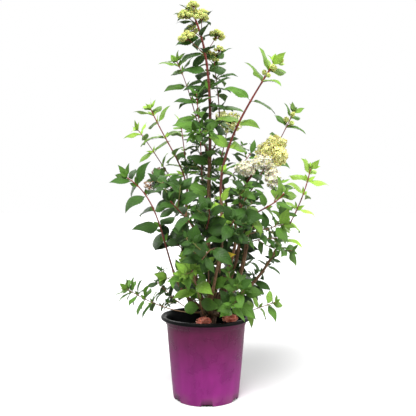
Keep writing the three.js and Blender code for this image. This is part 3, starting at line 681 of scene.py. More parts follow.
def coarse_stem(limb: Limb, radii: Pair) -> Faceted:
    """Gives the model's plain pointed stem, which stands in for the stem where room is tested.

    Args:
        limb: The limb.
        radii: The radii at its foot and its tip.

    Returns:
        The corners and the faces.
    """
    sides = STEM_SIDES
    corners: list[Vector] = []
    for i, spot in enumerate(limb.rings[:-1]):
        radius = radii[0] + (radii[1] - radii[0]) * i / limb.steps
        for j in range(sides):
            aside, ahead = around(radius, j, sides)
            corners.append(spot.point + spot.side * aside + spot.front * ahead)
    faces: Faces = []
    last = (limb.steps - 1) * sides
    for low in range(0, last, sides):
        for j in range(sides):
            a, b = low + j, low + (j + 1) % sides
            faces += [(a, b, b + sides), (a, b + sides, a + sides)]
    faces += [(last + j, last + (j + 1) % sides, len(corners)) for j in range(sides)]
    return [*corners, limb.tip.point], faces


@dataclass(frozen=True)
class Aim:
    """Where a leaf points and which way its upper face looks."""

    along: Vector
    face: Vector


def aim_of(spot: Spot, turn: float, lift: float, roll: float = 0.0) -> Aim:
    """Turns a leaf out from its stem, with its upper face to the light and away from the shrub's middle.

    Args:
        spot: Where it grows.
        turn: Its turn round the stem.
        lift: Its angle from the stem.
        roll: Its turn about its own midrib.

    Returns:
        Its aim.
    """
    out = spot.side * cos(turn) + spot.front * sin(turn)
    along = (spot.along * cos(lift) + out * sin(lift)).normalized()
    radial = Vector((spot.point.x, spot.point.y, 0)) / FACING_REACH
    if radial.length > 1:
        radial.normalize()
    face = spot.along * FACING_ALONG + TO_LIGHT * FACING_LIGHT + radial * FACING_RADIAL
    face = (face - along * face.dot(along)).normalized()
    face.rotate(Quaternion(along, roll))
    return Aim(along, face)


@dataclass
class Leaf:
    """One leaf: its root, its aim, its length and arch, its pair's number from the tip, and its green."""

    root: Vector
    aim: Aim
    size: float
    arch: float
    pair: int
    tone: Tone
    seed: int

    def midrib(self, share: float, root: Vector | None = None) -> tuple[Vector, Vector]:
        """Gives the point at a share of the midrib and the direction the upper face looks in there.

        Args:
            share: The share of the leaf's length.
            root: Where the leaf roots in place of its own root.

        Returns:
            The point and the direction.
        """
        angle = self.arch * share
        radius = self.size / self.arch
        along, face = self.aim.along, self.aim.face
        start = self.root if root is None else root
        point = start + along * (radius * sin(angle)) - face * (radius * (1 - cos(angle)))
        return point, face * cos(angle) + along * sin(angle)

    def coarse(self, root: Vector, grown: float) -> Faceted:
        """Gives the model's plain leaf, grown by a gap, which stands in for it where room is tested.

        Args:
            root: Where the leaf starts.
            grown: The gap it is grown by.

        Returns:
            The leaf's corners and faces.
        """
        across = self.aim.along.cross(self.aim.face)
        half = LEAF.width * self.size / 2 + grown
        narrow = half * LEAF.shoulder_width
        thick = LEAF.thickness * self.size / 2 + grown

        def edge(share: float, width: float, hand: int) -> Vector:
            """Gives the folded blade's edge at a share of its length."""
            point, normal = self.midrib(share, root)
            return point + across * (hand * width * cos(LEAF.fold)) + normal * (width * sin(LEAF.fold))

        middle, upward = self.midrib(LEAF.middle, root)
        tip = self.midrib(1, root)[0] + self.aim.along * grown
        outline = [root, edge(LEAF.widest, half, -1), tip, edge(LEAF.widest, half, 1)]
        if self.size >= LEAF.plain_below:
            outline.insert(2, edge(LEAF.shoulder, narrow, -1))
            outline.insert(4, edge(LEAF.shoulder, narrow, 1))
        last = len(outline)
        faces: Faces = []
        for j in range(last):
            faces += [(last, (j + 1) % last, j), (last + 1, j, (j + 1) % last)]
        return [*outline, middle + upward * thick, middle - upward * thick], faces


class Standing:
    """Everything that stands so far, so that what comes next can keep clear of it."""

    def __init__(self) -> None:
        """Starts with nothing standing."""
        self.trees: list[BVHTree] = []
        self.lows = np.zeros((0, 3))
        self.highs = np.zeros((0, 3))

    def add(self, solid: Faceted) -> int:
        """Stands a solid up, and gives the number it is known by.

        Args:
            solid: Its corners and faces.

        Returns:
            The number.
        """
        points = np.array(solid[0])
        self.trees.append(BVHTree.FromPolygons(*solid))
        self.lows = np.vstack([self.lows, points.min(0)])
        self.highs = np.vstack([self.highs, points.max(0)])
        return len(self.trees) - 1

    def touches(self, solid: Faceted, allowed: Iterable[int]) -> bool:
        """Tells whether a solid meets anything but what it is allowed to meet.

        Args:
            solid: Its corners and faces.
            allowed: The numbers of what it may meet.

        Returns:
            Whether it meets anything else.
        """
        points = np.array(solid[0])
        near = np.nonzero(((self.lows <= points.max(0)) & (self.highs >= points.min(0))).all(axis=1))[0]
        skipped = set(allowed)
        tree = BVHTree.FromPolygons(*solid)
        return any(tree.overlap(self.trees[i]) for i in near if int(i) not in skipped)


@dataclass
class Knob:
    """One flat knob of buds: its middle, the way it faces, its scale, and where its stalk starts."""

    centre: Vector
    facing: Vector
    scale: float
    stalk_from: Vector


@dataclass
class Twig:
    """One side twig: its limb and its two radii."""

    limb: Limb
    radii: Pair


@dataclass
class Axil:
    """A place that a leaf or twig may grow from: its spot, turn, pair and seed, and what it may touch."""

    spot: Spot
    turn: float
    pair: int
    seed: int
    allowed: list[int]


@dataclass
class Tip:
    """A stem's tip that bears a tuft: its limb, its turn, its leaf size, its seed, and what it may touch."""

    limb: Limb
    turn: float
    leaf: float
    seed: int
    allowed: list[int]


@dataclass
class Mass:
    """One shoot with all that grows on it."""

    shoot: Shoot
    limb: Limb
    radii: Pair
    stem: int
    seed: int
    items: list[int]
    stalks: list[int] = field(default_factory=list)
    leaves: list[Leaf] = field(default_factory=list)
    twigs: list[Twig] = field(default_factory=list)
    knobs: list[Knob] = field(default_factory=list)
    sprigs: list[Knob] = field(default_factory=list)
    lobe_stalks: list[tuple[Vector, Vector]] = field(default_factory=list)
    axils: list[Axil] = field(default_factory=list)
    tips: list[Tip] = field(default_factory=list)


def of_pair(values: tuple[float, ...], number: int) -> float:
    """Gives the value for a pair, the last one for every pair past the list."""
    return values[min(number, len(values) - 1)]


class Crown:
    """The whole crown, grown limb by limb as the model grows it, then carried to finer twigs."""

    def __init__(self) -> None:
        """Stands up the pot, the mix, the trunk and the canes, which the model already holds."""
        self.standing = Standing()
        self.limbs: dict[str, Limb] = {}
        self.numbers: dict[str, int] = {}
        self.tip_radii = {cane.name: cane.radii[1] for cane in CANES}
        self.top = CAD_BOX[1][2] / MM
        self.masses: list[Mass] = []
        for name in ("pot", "potting_mix", "trunk"):
            self.standing.add(self._solid_of(name))
        for cane in CANES:
            guess, out = self._foot_on_knuckle(cane.foot)
            start = self._seat_in_model(cane.name, guess, CANE_SIDES)
            self.limbs[cane.name] = self._limb_from(start, out, None, cane.tip)
            self.numbers[cane.name] = self.standing.add(self._solid_of(cane.name))

    @staticmethod
    def _solid_of(name: str) -> Faceted:
        """Gives a node's corners in millimetres, and its faces.

        Args:
            name: The node's name.

        Returns:
            The corners and the faces.
        """
        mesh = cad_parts[name].data
        corners = [vertex.co / MM for vertex in mesh.vertices]
        return corners, [tuple(polygon.vertices) for polygon in mesh.polygons]

    @staticmethod
    def _seat_in_model(node: str, guess: Vector, count: int) -> Vector:
        """Gives the middle of a limb's foot in the model.

        Args:
            node: The limb's node.
            guess: About where its foot is.
            count: The number of corners its foot has, which are the nearest to the guess.

        Returns:
            The mean of those corners.
        """
        corners = np.array([vertex.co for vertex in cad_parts[node].data.vertices]) / MM
        corners = np.unique(corners.round(3), axis=0)
        nearest = np.argsort(np.linalg.norm(corners - np.array(guess), axis=1))[:count]
        return Vector(corners[nearest].mean(0))

    @staticmethod
    def _foot_on_knuckle(foot: Pair) -> tuple[Vector, Vector]:
        """Gives the point and direction in which a limb leaves the knuckle.

        Args:
            foot: The turn and the rise of the direction, in degrees.

        Returns:
            The point and the direction.
        """
        turn, rise = (radians(angle) for angle in foot)
        out = Vector((cos(turn) * cos(rise), sin(turn) * cos(rise), sin(rise)))
        return Vector(KNUCKLE.centre) + out * (KNUCKLE.radius + SEAT), out

    @staticmethod
    def _limb_from(start: Vector, out: Vector, via: Triple | None, tip: Triple) -> Limb:
        """Lays a cane or shoot from its start.

        Args:
            start: Its first point.
            out: The direction in which it leaves.
            via: The point it is drawn to, or none for one straight ahead.
            tip: Its last point.

        Returns:
            The limb.
        """
        end = Vector(tip)
        distance = (start - end).length
        control = Vector(via) if via else start + out * (REACH * distance)
        return Limb(start, out, control, end, max(3, floor(distance / STRETCH + 0.5)))

    def _shoot_start(self, shoot: Shoot) -> tuple[Vector, Vector]:
        """Gives about where a shoot starts, and its direction.

        Args:
            shoot: The shoot.

        Returns:
            The point and the direction.
        """
        if shoot.foot:
            return self._foot_on_knuckle(shoot.foot)
        cane = self.limbs[shoot.cane]
        if not shoot.side:
            return cane.tip.point + cane.tip.along * SEAT, cane.tip.along
        out = Vector(shoot.side).normalized()
        spot = cane.from_tip(SIDE_BELOW_TIP)
        slant = spot.along.dot(out)
        room = self.tip_radii[shoot.cane] + SEAT + shoot.radius * abs(slant)
        return spot.point + out * (room / sqrt(1 - slant * slant)), out

    def grow(self) -> None:
        """Grows every shoot: all stems first, then blossom and buds, then leaves, then the finer twigs."""
        for number, shoot in enumerate(SHOOTS):
            guess, out = self._shoot_start(shoot)
            start = self._seat_in_model(shoot.name, guess, STEM_SIDES)
            limb = self._limb_from(start, out, shoot.via, shoot.tip)
            radii = (shoot.radius, max(THINNEST_STEM, STEM_TAPER * shoot.radius))
            stem = self.standing.add(coarse_stem(limb, radii))
            self.masses.append(Mass(shoot, limb, radii, stem, SEED.shoot * (number + 1), [stem]))
        self._each(self._add_bloom, self._add_buds, self._leaf_out)
        for pairs in CANE_PAIRS:
            self._clothe_cane(pairs)
        self._each(self._add_whorls, self._add_sprigs, self._add_tufts, *[self._thicken] * FINE_LEVELS)

    def _each(self, *steps: Callable[[Mass], None]) -> None:
        """Takes every mass through a step before the next step starts.

        Args:
            steps: The steps, in order.
        """
        for step in steps:
            for mass in self.masses:
                step(mass)

    def _leaf_out(self, mass: Mass) -> None:
        """Grows the leaf pairs and side twigs of a mass."""
        mass.tips.append(self._add_leaves(mass, mass.stem, mass.limb, mass.shoot.rule, mass.seed, TWIG))

    def _clothe_cane(self, pairs: CanePairs) -> None:
        """Grows leaf pairs on the upper joints of a cane.

        Args:
            pairs: The cane, the mass that the leaves go to, and their rule.
        """
        mass = next(mass for mass in self.masses if mass.shoot.name == pairs.mass)
        limb = self.limbs[pairs.cane]
        rule = LeafingRule(pairs.turn, pairs.gap, pairs.leaf, limb.length - pairs.reach, 0)
        self._add_leaves(mass, self.numbers[pairs.cane], limb, rule, mass.seed + SEED.cane, TWIG)

    def _add_bloom(self, mass: Mass) -> None:
        """Stands up the panicle's lobes, on the shoot that bears it, and the stalks that carry them.

        Args:
            mass: The mass of the shoot that bears it.
        """
        near = [mass.limb.from_tip(share * mass.limb.length) for share in LOBE_FEET]
        for lobe in LOBES if mass.shoot.lobes else ():
            centre = Vector(lobe.at)
            start = min(near, key=lambda spot: (spot.point - centre).length).point
            self.standing.add(ellipsoid(centre, lobe.radii, 2))
            mass.lobe_stalks.append((start, centre))

    def _add_buds(self, mass: Mass) -> None:
        """Grows the closed panicle at a tip, with tiers of stalked knobs in the axils under it.

        Args:
            mass: The mass of the shoot.
        """
        random = Stream(mass.seed)
        shoot = mass.shoot
        for step in range(min(BUD.tips, 1 + shoot.umbels)):
            spot = mass.limb.from_tip(BUD.spacing * step)
            scale = BUD.tip_scale[0] + BUD.tip_scale[1] * step
            self._add_knob(mass, Knob(spot.point, spot.along, scale, spot.point), random.share())
        stations = shoot.rule.stations(mass.limb.length)
        for tier in range(1, shoot.umbels + 1):
            spot = mass.limb.from_tip(stations[tier])
            for hand in range(2):
                stray = LEAF.stray_pair * random.sway()
                turn = radians(shoot.turn) + QUARTER_TURN * tier + pi * hand + stray
                aim = aim_of(spot, turn, BUD.lift)
                tip = spot.point + aim.along * (BUD.reach * (BUD.tier_reach[0] + BUD.tier_reach[1] * tier))
                facing = aim.along.lerp(UP, BUD.upright).normalized()
                scale = BUD.tier_scale[0] + BUD.tier_scale[1] * tier
                self._add_knob(mass, Knob(tip, facing, scale, spot.point), random.share())

    def _add_knob(self, mass: Mass, knob: Knob, spin: float) -> None:
        """Grows one bud knob where it has room, turned by a spin.

        Args:
            mass: The mass that it goes to.
            knob: The knob.
            spin: The spin, in radians.
        """
        size = BUD.radius * knob.scale
        corners, faces = ellipsoid(Vector(), (size, size, BUD.height * knob.scale), 1)
        turn = Matrix.Rotation(spin, 3, "Z") @ UP.rotation_difference(knob.facing).to_matrix()
        solid = ([turn @ corner + knob.centre for corner in corners], faces)
        if self.standing.touches(solid, mass.items):
            return
        mass.items.append(self.standing.add(solid))
        mass.stalks.append(mass.items[-1])
        knob.facing = (turn @ UP).normalized()
        mass.knobs.append(knob)

    def _add_leaf(self, mass: Mass, axil: Axil, leaf: float) -> list[int]:
        """Grows one leaf of a pair, on a stem whose full leaves have a length."""
        lift, size, arch = (of_pair(values, axil.pair) for values in (PAIR.lift, PAIR.size, PAIR.arch))
        return self._try_leaf(mass, axil, LEAF.strays, (lift, leaf * size, arch))

    def _try_leaf(self, mass: Mass, axil: Axil, strays: Strays, rule: Triple) -> list[int]:
        """Tries a leaf, turned a little further each time, until it has room, or is left out.

        Args:
            mass: The mass it belongs to.
            axil: Where it grows.
            strays: How far it strays.
            rule: Its angle from the stem, its length and its arch.

        Returns:
            Its number, in a list that is empty where it has no room.
        """
        random = Stream(axil.seed)
        for tried in range(strays.tries):
            spread = 1 + tried
            turn = axil.turn + strays.turn * spread * random.sway()
            lift = rule[0] + strays.lift * spread * random.sway()
            roll = strays.roll * (1 + strays.more_roll * tried) * random.sway()
            size = rule[1] * (1 + strays.size * random.sway()) * (1 - strays.shrink * tried)
            arch = rule[2] * (1 + strays.arch * random.sway()) if strays.arch else rule[2]
            number = self._stand_leaf(mass, axil, aim_of(axil.spot, turn, lift, roll), size, arch)
            if number:
                return number
        return []

    def _stand_leaf(self, mass: Mass, axil: Axil, aim: Aim, size: float, arch: float) -> list[int]:
        """Stands a leaf up where it is within reach, clear of its neighbours and out of the clearings.

        Args:
            mass: The mass it belongs to.
            axil: Where it grows.
            aim: Its aim.
            size: Its length.
            arch: The angle its midrib bends through.

        Returns:
            Its number, in a list that is empty where it has no room.
        """
        pair = axil.pair + mass.shoot.shaded
        leaf = Leaf(axil.spot.curve_point, aim, size, arch, pair, mass.shoot.tone, axil.seed)
        root = axil.spot.point
        middle, tip = leaf.midrib(LEAF.probe, root)[0], leaf.midrib(1, root)[0]
        if mass.limb.distance_to(tip) >= LEAF.space or tip.z > self.top or in_clearing(middle, tip):
            return []
        if self.standing.touches(leaf.coarse(root, LEAF.clear), axil.allowed):
            return []
        mass.leaves.append(leaf)
        return [self.standing.add(leaf.coarse(root, 0))]

    def _add_leaves(
        self, mass: Mass, stem: int, limb: Limb, rule: LeafingRule, seed: int, sizes: TwigRule
    ) -> Tip:
        """Grows the leaf pairs of one stem and the side twigs of its lower axils.

        Args:
            mass: The mass they belong to.
            stem: The number the stem is known by.
            limb: The stem's limb.
            rule: Its leafing rule.
            seed: Its seed.
            sizes: The sizes of its side twigs.

        Returns:
            The stem's tip.
        """
        tip = Tip(limb, radians(rule.turn), rule.leaf, seed + SEED.tuft, [stem, *mass.items])
        for k, from_tip in enumerate(rule.stations(limb.length)):
            if k == 0 and not rule.tuft:
                continue
            spot = limb.from_tip(from_tip)
            pair_seed = seed + SEED.pair * k
            random = Stream(pair_seed)
            pair_turn = radians(rule.turn) + QUARTER_TURN * k + LEAF.stray_pair * random.sway()
            turns = (pair_turn, pair_turn + pi)
            pair: list[int] = []
            for hand, turn in enumerate(turns, 1):
                axil = Axil(spot, turn, k, pair_seed + SEED.leaf * hand, [stem, *mass.stalks, *pair])
                pair += self._add_leaf(mass, axil, rule.leaf)
            tip.allowed += pair if k < 2 else []
            for hand, turn in enumerate(turns, 1):
                axil = Axil(spot, turn, k, pair_seed + SEED.twig * hand, [stem, *pair])
                chance = random.share()
                if k >= 2 and chance <= rule.twigs:
                    self._add_twig(mass, axil, rule, sizes)
                elif k >= 1:
                    axil.seed += SEED.fine
                    mass.axils.append(axil)
        return tip

    def _add_twig(self, mass: Mass, axil: Axil, rule: LeafingRule, sizes: TwigRule) -> bool:
        """Grows a side twig, with leaf pairs of its own.

        Args:
            mass: The mass it belongs to.
            axil: Where it grows.
            rule: The leafing rule of the stem that bears it.
            sizes: Its sizes.

        Returns:
            Whether it had room.
        """
        random = Stream(axil.seed)
        start = axil.spot.point
        aim = aim_of(axil.spot, axil.turn + sizes.stray * random.sway(), sizes.lift)
        length = sizes.length * (sizes.length_shares[0] + sizes.length_shares[1] * random.share())
        tip = start + aim.along * length + UP * (sizes.rise * length)
        limb = Limb(start, aim.along, start + aim.along * (0.5 * length), tip, 2)
        radii = (sizes.radius, sizes.taper * sizes.radius)
        grown = (radii[0] + LEAF.clear, radii[1] + LEAF.clear)
        if mass.limb.distance_to(tip) > LEAF.space or in_clearing(tip):
            return False
        if self.standing.touches(coarse_stem(limb, grown), axil.allowed):
            return False
        twig = self.standing.add(coarse_stem(limb, radii))
        mass.twigs.append(Twig(limb, radii))
        turn = degrees(axil.turn) + 90
        leafing = LeafingRule(turn, sizes.gap, sizes.leaf * rule.leaf, sizes.bare * length, 0)
        mass.tips.append(self._add_leaves(mass, twig, limb, leafing, axil.seed + SEED.on_twig, sizes))
        return True

    def _add_whorls(self, mass: Mass) -> None:
        """Grows a leaf a quarter turn on from each leaf of a pair, as in the whorls of a strong shoot.

        Args:
            mass: The mass of the shoot.
        """
        for axil in mass.axils:
            allowed = [*axil.allowed, *mass.stalks]
            turned = Axil(axil.spot, axil.turn + QUARTER_TURN, axil.pair, axil.seed + SEED.whorl, allowed)
            if axil.allowed[0] == mass.stem and Stream(turned.seed).share() < mass.shoot.whorl:
                axil.allowed += self._add_leaf(mass, turned, mass.shoot.leaf)

    def _add_sprigs(self, mass: Mass) -> None:
        """Grows small stalked sprigs of buds at the tip and in the upper axils of a mass.

        Args:
            mass: The mass of the shoot.
        """
        random = Stream(mass.seed + SEED.sprig)
        first, step = BUD.sprig_spread
        for number in range(mass.shoot.sprigs):
            spot = mass.limb.from_tip(BUD.sprig_spacing * (number // 2) + 1)
            turn = radians(mass.shoot.turn) + pi / 4 + QUARTER_TURN * (BUD.sprig_turn * number)
            turn += BUD.sprig_stray * random.sway()
            aim = aim_of(spot, turn, BUD.sprig_lift[0] + BUD.sprig_lift[1] * random.share())
            centre = spot.point + aim.along * (BUD.sprig_reach * (first + step * random.share()))
            scale = BUD.sprig_scale * (first + step * random.share())
            solid = ellipsoid(centre, (BUD.radius * scale,) * 3, 1)
            if not self.standing.touches(solid, mass.items):
                mass.items.append(self.standing.add(solid))
                facing = aim.along.lerp(UP, BUD.sprig_upright).normalized()
                mass.sprigs.append(Knob(centre, facing, scale, spot.point))

    def _add_tufts(self, mass: Mass) -> None:
        """Grows the tufts of young leaves at the tips and in the axils of a mass.

        Args:
            mass: The mass of the shoot.
        """
        for tip in mass.tips:
            budded = mass.shoot.umbels >= 0 and tip.limb is mass.limb
            spot = tip.limb.from_tip(TUFT.below_buds if budded else TUFT.below_tip)
            count = TUFT.under_buds if budded else len(TUFT.sizes)
            for number, (share, lift) in enumerate(zip(TUFT.sizes[:count], TUFT.lifts)):
                for hand in range(2):
                    turn = tip.turn + pi / 4 + QUARTER_TURN * number + pi * hand
                    axil = Axil(spot, turn, 0, tip.seed + SEED.again * (2 * number + hand), tip.allowed)
                    young = (lift, share * tip.leaf, TUFT.arch)
                    tip.allowed += self._try_leaf(mass, axil, TUFT.strays, young)
        mass.tips.clear()
        young = (TUFT.axil_lift, TUFT.axil_size * mass.shoot.leaf, TUFT.arch)
        for axil in mass.axils:
            place = Axil(axil.spot, axil.turn, 0, axil.seed + SEED.tuft, axil.allowed)
            if Stream(place.seed).share() < TUFT.axil_share:
                axil.allowed += self._try_leaf(mass, place, TUFT.strays, young)

    def _thicken(self, mass: Mass) -> None:
        """Carries a mass to finer twigs, from the axils that the model's rule leaves empty.

        Args:
            mass: The mass of the shoot.
        """
        axils, mass.axils = mass.axils, []
        for axil in axils:
            if Stream(axil.seed).share() >= mass.shoot.fine:
                continue
            for _ in range(FINE_TRIES):
                if self._add_twig(mass, axil, mass.shoot.rule, FINE_TWIG):
                    break
                axil.seed += SEED.again
        self._add_tufts(mass)


def ellipsoid(centre: Vector, radii: Triple, subdivisions: int) -> Faceted:
    """Gives a faceted ellipsoid.

    Args:
        centre: Its middle.
        radii: Its half sizes.
        subdivisions: How finely the ball is split, 1 for twenty faces.

    Returns:
        The corners and the faces.
    """
    ball = bmesh.new()
    bmesh.ops.create_icosphere(ball, subdivisions=subdivisions, radius=1)
    corners = [Vector(a * b for a, b in zip(vertex.co, radii)) + centre for vertex in ball.verts]
    faces = [tuple(vertex.index for vertex in polygon.verts) for polygon in ball.faces]
    ball.free()
    return corners, faces


def lumpy_ball(centre: Vector, radii: Triple, subdivisions: int, seed: int) -> Faceted:
    """Gives an ellipsoid whose corners are pushed in and out round its middle.

    Args:
        centre: Its middle.
        radii: Its half sizes.
        subdivisions: How finely the ball is split.
        seed: A number that picks the lumps.

    Returns:
        The corners and the faces.
    """
    shift = Vector((seed * 1.7, seed * 0.9, seed * 2.3))
    smooth, faces = ellipsoid(centre, radii, subdivisions)
    corners = []
    for corner in smooth:
        offset = corner - centre
        push = noise.noise(offset.normalized() * LUMP_FINENESS + shift)
        corners.append(centre + offset * (1 + LUMP * 2 * push))
    return corners, faces


def around(reach: float, number: float, count: int) -> Pair:
    """Gives the X and Y of one of the places that a circle is split into."""
    angle = FULL_TURN * number / count
    return reach * cos(angle), reach * sin(angle)


# Mesh building.


def tube_mesh(
    rings: Sequence[Ring], sides: int, relief: Callable[[np.ndarray, float], np.ndarray] | None = None
) -> Grid:
    """Sweeps a closed round tube through rings, with a cap of one corner at each end.

    Args:
        rings: The rings from foot to tip.
        sides: The number of sides.
        relief: Gives the share to add to the radius from the angles round a ring and the length so far.

    Returns:
        The corners, the triangles and the pattern places.
    """
    angles = np.arange(sides) * (2 * pi / sides)
    cosines, sines = np.cos(angles)[:, None], np.sin(angles)[:, None]
    corners, places = [], []
    reach = 0.0
    for number, ring in enumerate(rings):
        if number:
            reach += (ring.point - rings[number - 1].point).length
        radius = np.full(sides, ring.radius)
        if relief:
            radius = radius * (1 + relief(angles, reach))
        spread = cosines * np.array(ring.side) + sines * np.array(ring.front)
        corners.append(np.array(ring.point) + spread * radius[:, None])
        places.append(np.column_stack([angles / (2 * pi), np.full(sides, reach)]))
    corners += [np.array([rings[0].point]), np.array([rings[-1].point])]
    places += [np.array([[0.5, 0]]), np.array([[0.5, reach]])]
    first = np.arange(sides)
    after = (first + 1) % sides
    last = (len(rings) - 1) * sides
    faces = []
    for low in range(0, last, sides):
        high = low + sides
        faces.append(np.column_stack([low + first, low + after, high + after]))
        faces.append(np.column_stack([low + first, high + after, high + first]))
    foot, top = last + sides, last + sides + 1
    faces.append(np.column_stack([np.full(sides, foot), after, first]))
    faces.append(np.column_stack([np.full(sides, top), last + first, last + after]))
    return np.vstack(corners), np.vstack(faces), np.vstack(places)


class MeshPile:
    """Gathers many small meshes, in millimetres, into one mesh object."""

    def __init__(self) -> None:
        """Starts empty."""
        self.parts: list[tuple[np.ndarray, ...]] = []
        self.count = 0

    def add(
        self, corners: Sequence, faces: Sequence, uv: Values = 0.0, tint: Values = 0.5, finish: int = 0
    ) -> None:
        """Adds one mesh.

        Args:
            corners: Its corners.
            faces: Its triangles.
            uv: A pattern place, for the mesh or for each corner.
            tint: A value from 0 to 1, for the mesh or for each corner.
            finish: The number of its material on the object.
        """
        size = len(corners)
        uvs = np.broadcast_to(np.asarray(uv, float), (size, 2))
        tints = np.broadcast_to(np.asarray(tint, float), (size,))
        numbers = np.full(len(faces), finish)
        self.parts.append((np.array(corners), np.array(faces) + self.count, uvs, tints, numbers))
        self.count += size

    def add_tube(self, rings: list[Ring], sides: int, tint: float | None = None, finish: int = 0) -> None:
        """Adds a tube.

        Args:
            rings: Its rings from foot to tip.
            sides: The number of sides.
            tint: Its tint, or none for one that runs from 0 at the foot to 1 at the tip.
            finish: The number of its material on the object.
        """
        corners, faces, places = tube_mesh(rings, sides)
        self.add(corners, faces, places, along_share(places) if tint is None else tint, finish)

    def build(self, name: str, materials: Sequence[Material], smooth: bool = True) -> Object:
        """Makes the object, in metres.

        Args:
            name: The piece's name.
            materials: Its finishes, in the order of their numbers.
            smooth: Whether its faces shade smoothly.

        Returns:
            The new object, in the scene.
        """
        corners, faces, uvs, tints, numbers = (np.concatenate(rows) for rows in zip(*self.parts))
        mesh = bpy.data.meshes.new(name)
        mesh.from_pydata((corners * MM).tolist(), [], faces.tolist())
        mesh.polygons.foreach_set("material_index", numbers)
        mesh.polygons.foreach_set("use_smooth", np.full(len(faces), smooth))
        mesh.attributes.new("tint", "FLOAT", "POINT").data.foreach_set("value", tints)
        mesh.uv_layers.new(name="UVMap").data.foreach_set("uv", uvs[faces.ravel()].ravel())
        mesh.update()
        return placed(name, mesh, materials)


def along_share(places: np.ndarray) -> np.ndarray:
    """Gives each corner's share of a tube's length from its pattern places."""
    return places[:, 1] / places[:, 1].max()


def link(piece: Object) -> Object:
    """Puts an object in the scene."""
    bpy.context.scene.collection.objects.link(piece)
    return piece


def placed(name: str, data: bpy.types.ID, materials: Sequence[Material] = ()) -> Object:
    """Puts a new object in the scene.

    Args:
        name: Its name.
        data: Its mesh, light or camera.
        materials: The finishes of its mesh.

    Returns:
        The object.
    """
    for material in materials:
        data.materials.append(material)
    return link(bpy.data.objects.new(name, data))


def discard(*pieces: Object) -> None:
    """Removes objects and their meshes.

    Args:
        pieces: The objects.
    """
    for piece in pieces:
        mesh = piece.data
        bpy.data.objects.remove(piece)
        bpy.data.meshes.remove(mesh)


def piece_of(name: str, shape: bmesh.types.BMesh, materials: Sequence[Material]) -> Object:
    """Makes an object from a shape, which is used up.

    Args:
        name: The piece's name.
        shape: The shape.
        materials: Its finishes.

    Returns:
        The new object, in the scene.
    """
    mesh = bpy.data.meshes.new(name)
    shape.to_mesh(mesh)
    shape.free()
    return placed(name, mesh, materials)


def turned(
    name: str, profile: Sequence[tuple[float, float, int]], sides: int,
    materials: Sequence[Material], lumps: np.ndarray | None = None,
) -> Object:
    """Turns a profile round the upright axis.

    Args:
        name: The piece's name.
        profile: The radius, height and finish of each row, with a radius of 0 where it closes.
        sides: The number of sides.
        materials: Its finishes.
        lumps: What is added to the height at each corner of each row.

    Returns:
        The new object, in the scene.
    """
    shape = bmesh.new()
    rows = []
    for number, (radius, height, _) in enumerate(profile):
        ring = []
        for side in range(sides if radius else 1):
            x, y = around(radius, side, sides)
            rise = height if lumps is None else height + lumps[number, side]
            ring.append(shape.verts.new((x * MM, y * MM, rise * MM)))
        rows.append(ring)
    for low, high, (_, _, finish) in zip(rows, rows[1:], profile[1:]):
        for j in range(sides):
            k = (j + 1) % sides
            ring = [low[j % len(low)], low[k % len(low)], high[k % len(high)], high[j % len(high)]]
            face = shape.faces.new(dict.fromkeys(ring))
            face.material_index = finish
            face.smooth = True
    bmesh.ops.recalc_face_normals(shape, faces=shape.faces)
    return piece_of(name, shape, materials)


def settle(piece: Object, slot: str, *nodes: str) -> None:
    """Hands a finished piece to the frame.

    Args:
        piece: The piece, with no live modifiers.
        slot: Not used.
        nodes: The nodes it stands for.
    """
    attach(piece, BODY)
    if nodes:
        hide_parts(*nodes)
    triangles = sum(len(polygon.vertices) - 2 for polygon in piece.data.polygons)
    log.info("%s: %d triangles, for %d nodes", piece.name, triangles, len(nodes))


def baked(piece: Object) -> Object:
    """Turns a piece with modifiers into a plain mesh.

    Args:
        piece: The piece.

    Returns:
        The same piece, with its new mesh.
    """
    evaluated = piece.evaluated_get(bpy.context.evaluated_depsgraph_get())
    mesh = bpy.data.meshes.new_from_object(evaluated)
    piece.modifiers.clear()
    old, piece.data = piece.data, mesh
    bpy.data.meshes.remove(old)
    return piece


def joined(name: str, pieces: Sequence[Object]) -> Object:
    """Joins mesh objects into one piece.

    Args:
        name: The piece's name.
        pieces: The objects, which are used up.

    Returns:
        The piece.
    """
    materials = list(dict.fromkeys(material for piece in pieces for material in piece.data.materials))
    shape = bmesh.new()
    for piece in pieces:
        before = len(shape.faces)
        shape.from_mesh(piece.data)
        shape.faces.ensure_lookup_table()
        numbers = [materials.index(material) for material in piece.data.materials]
        for face in shape.faces[before:]:
            face.material_index = numbers[min(face.material_index, len(numbers) - 1)]
    discard(*pieces)
    return piece_of(name, shape, materials)


# Shader building.


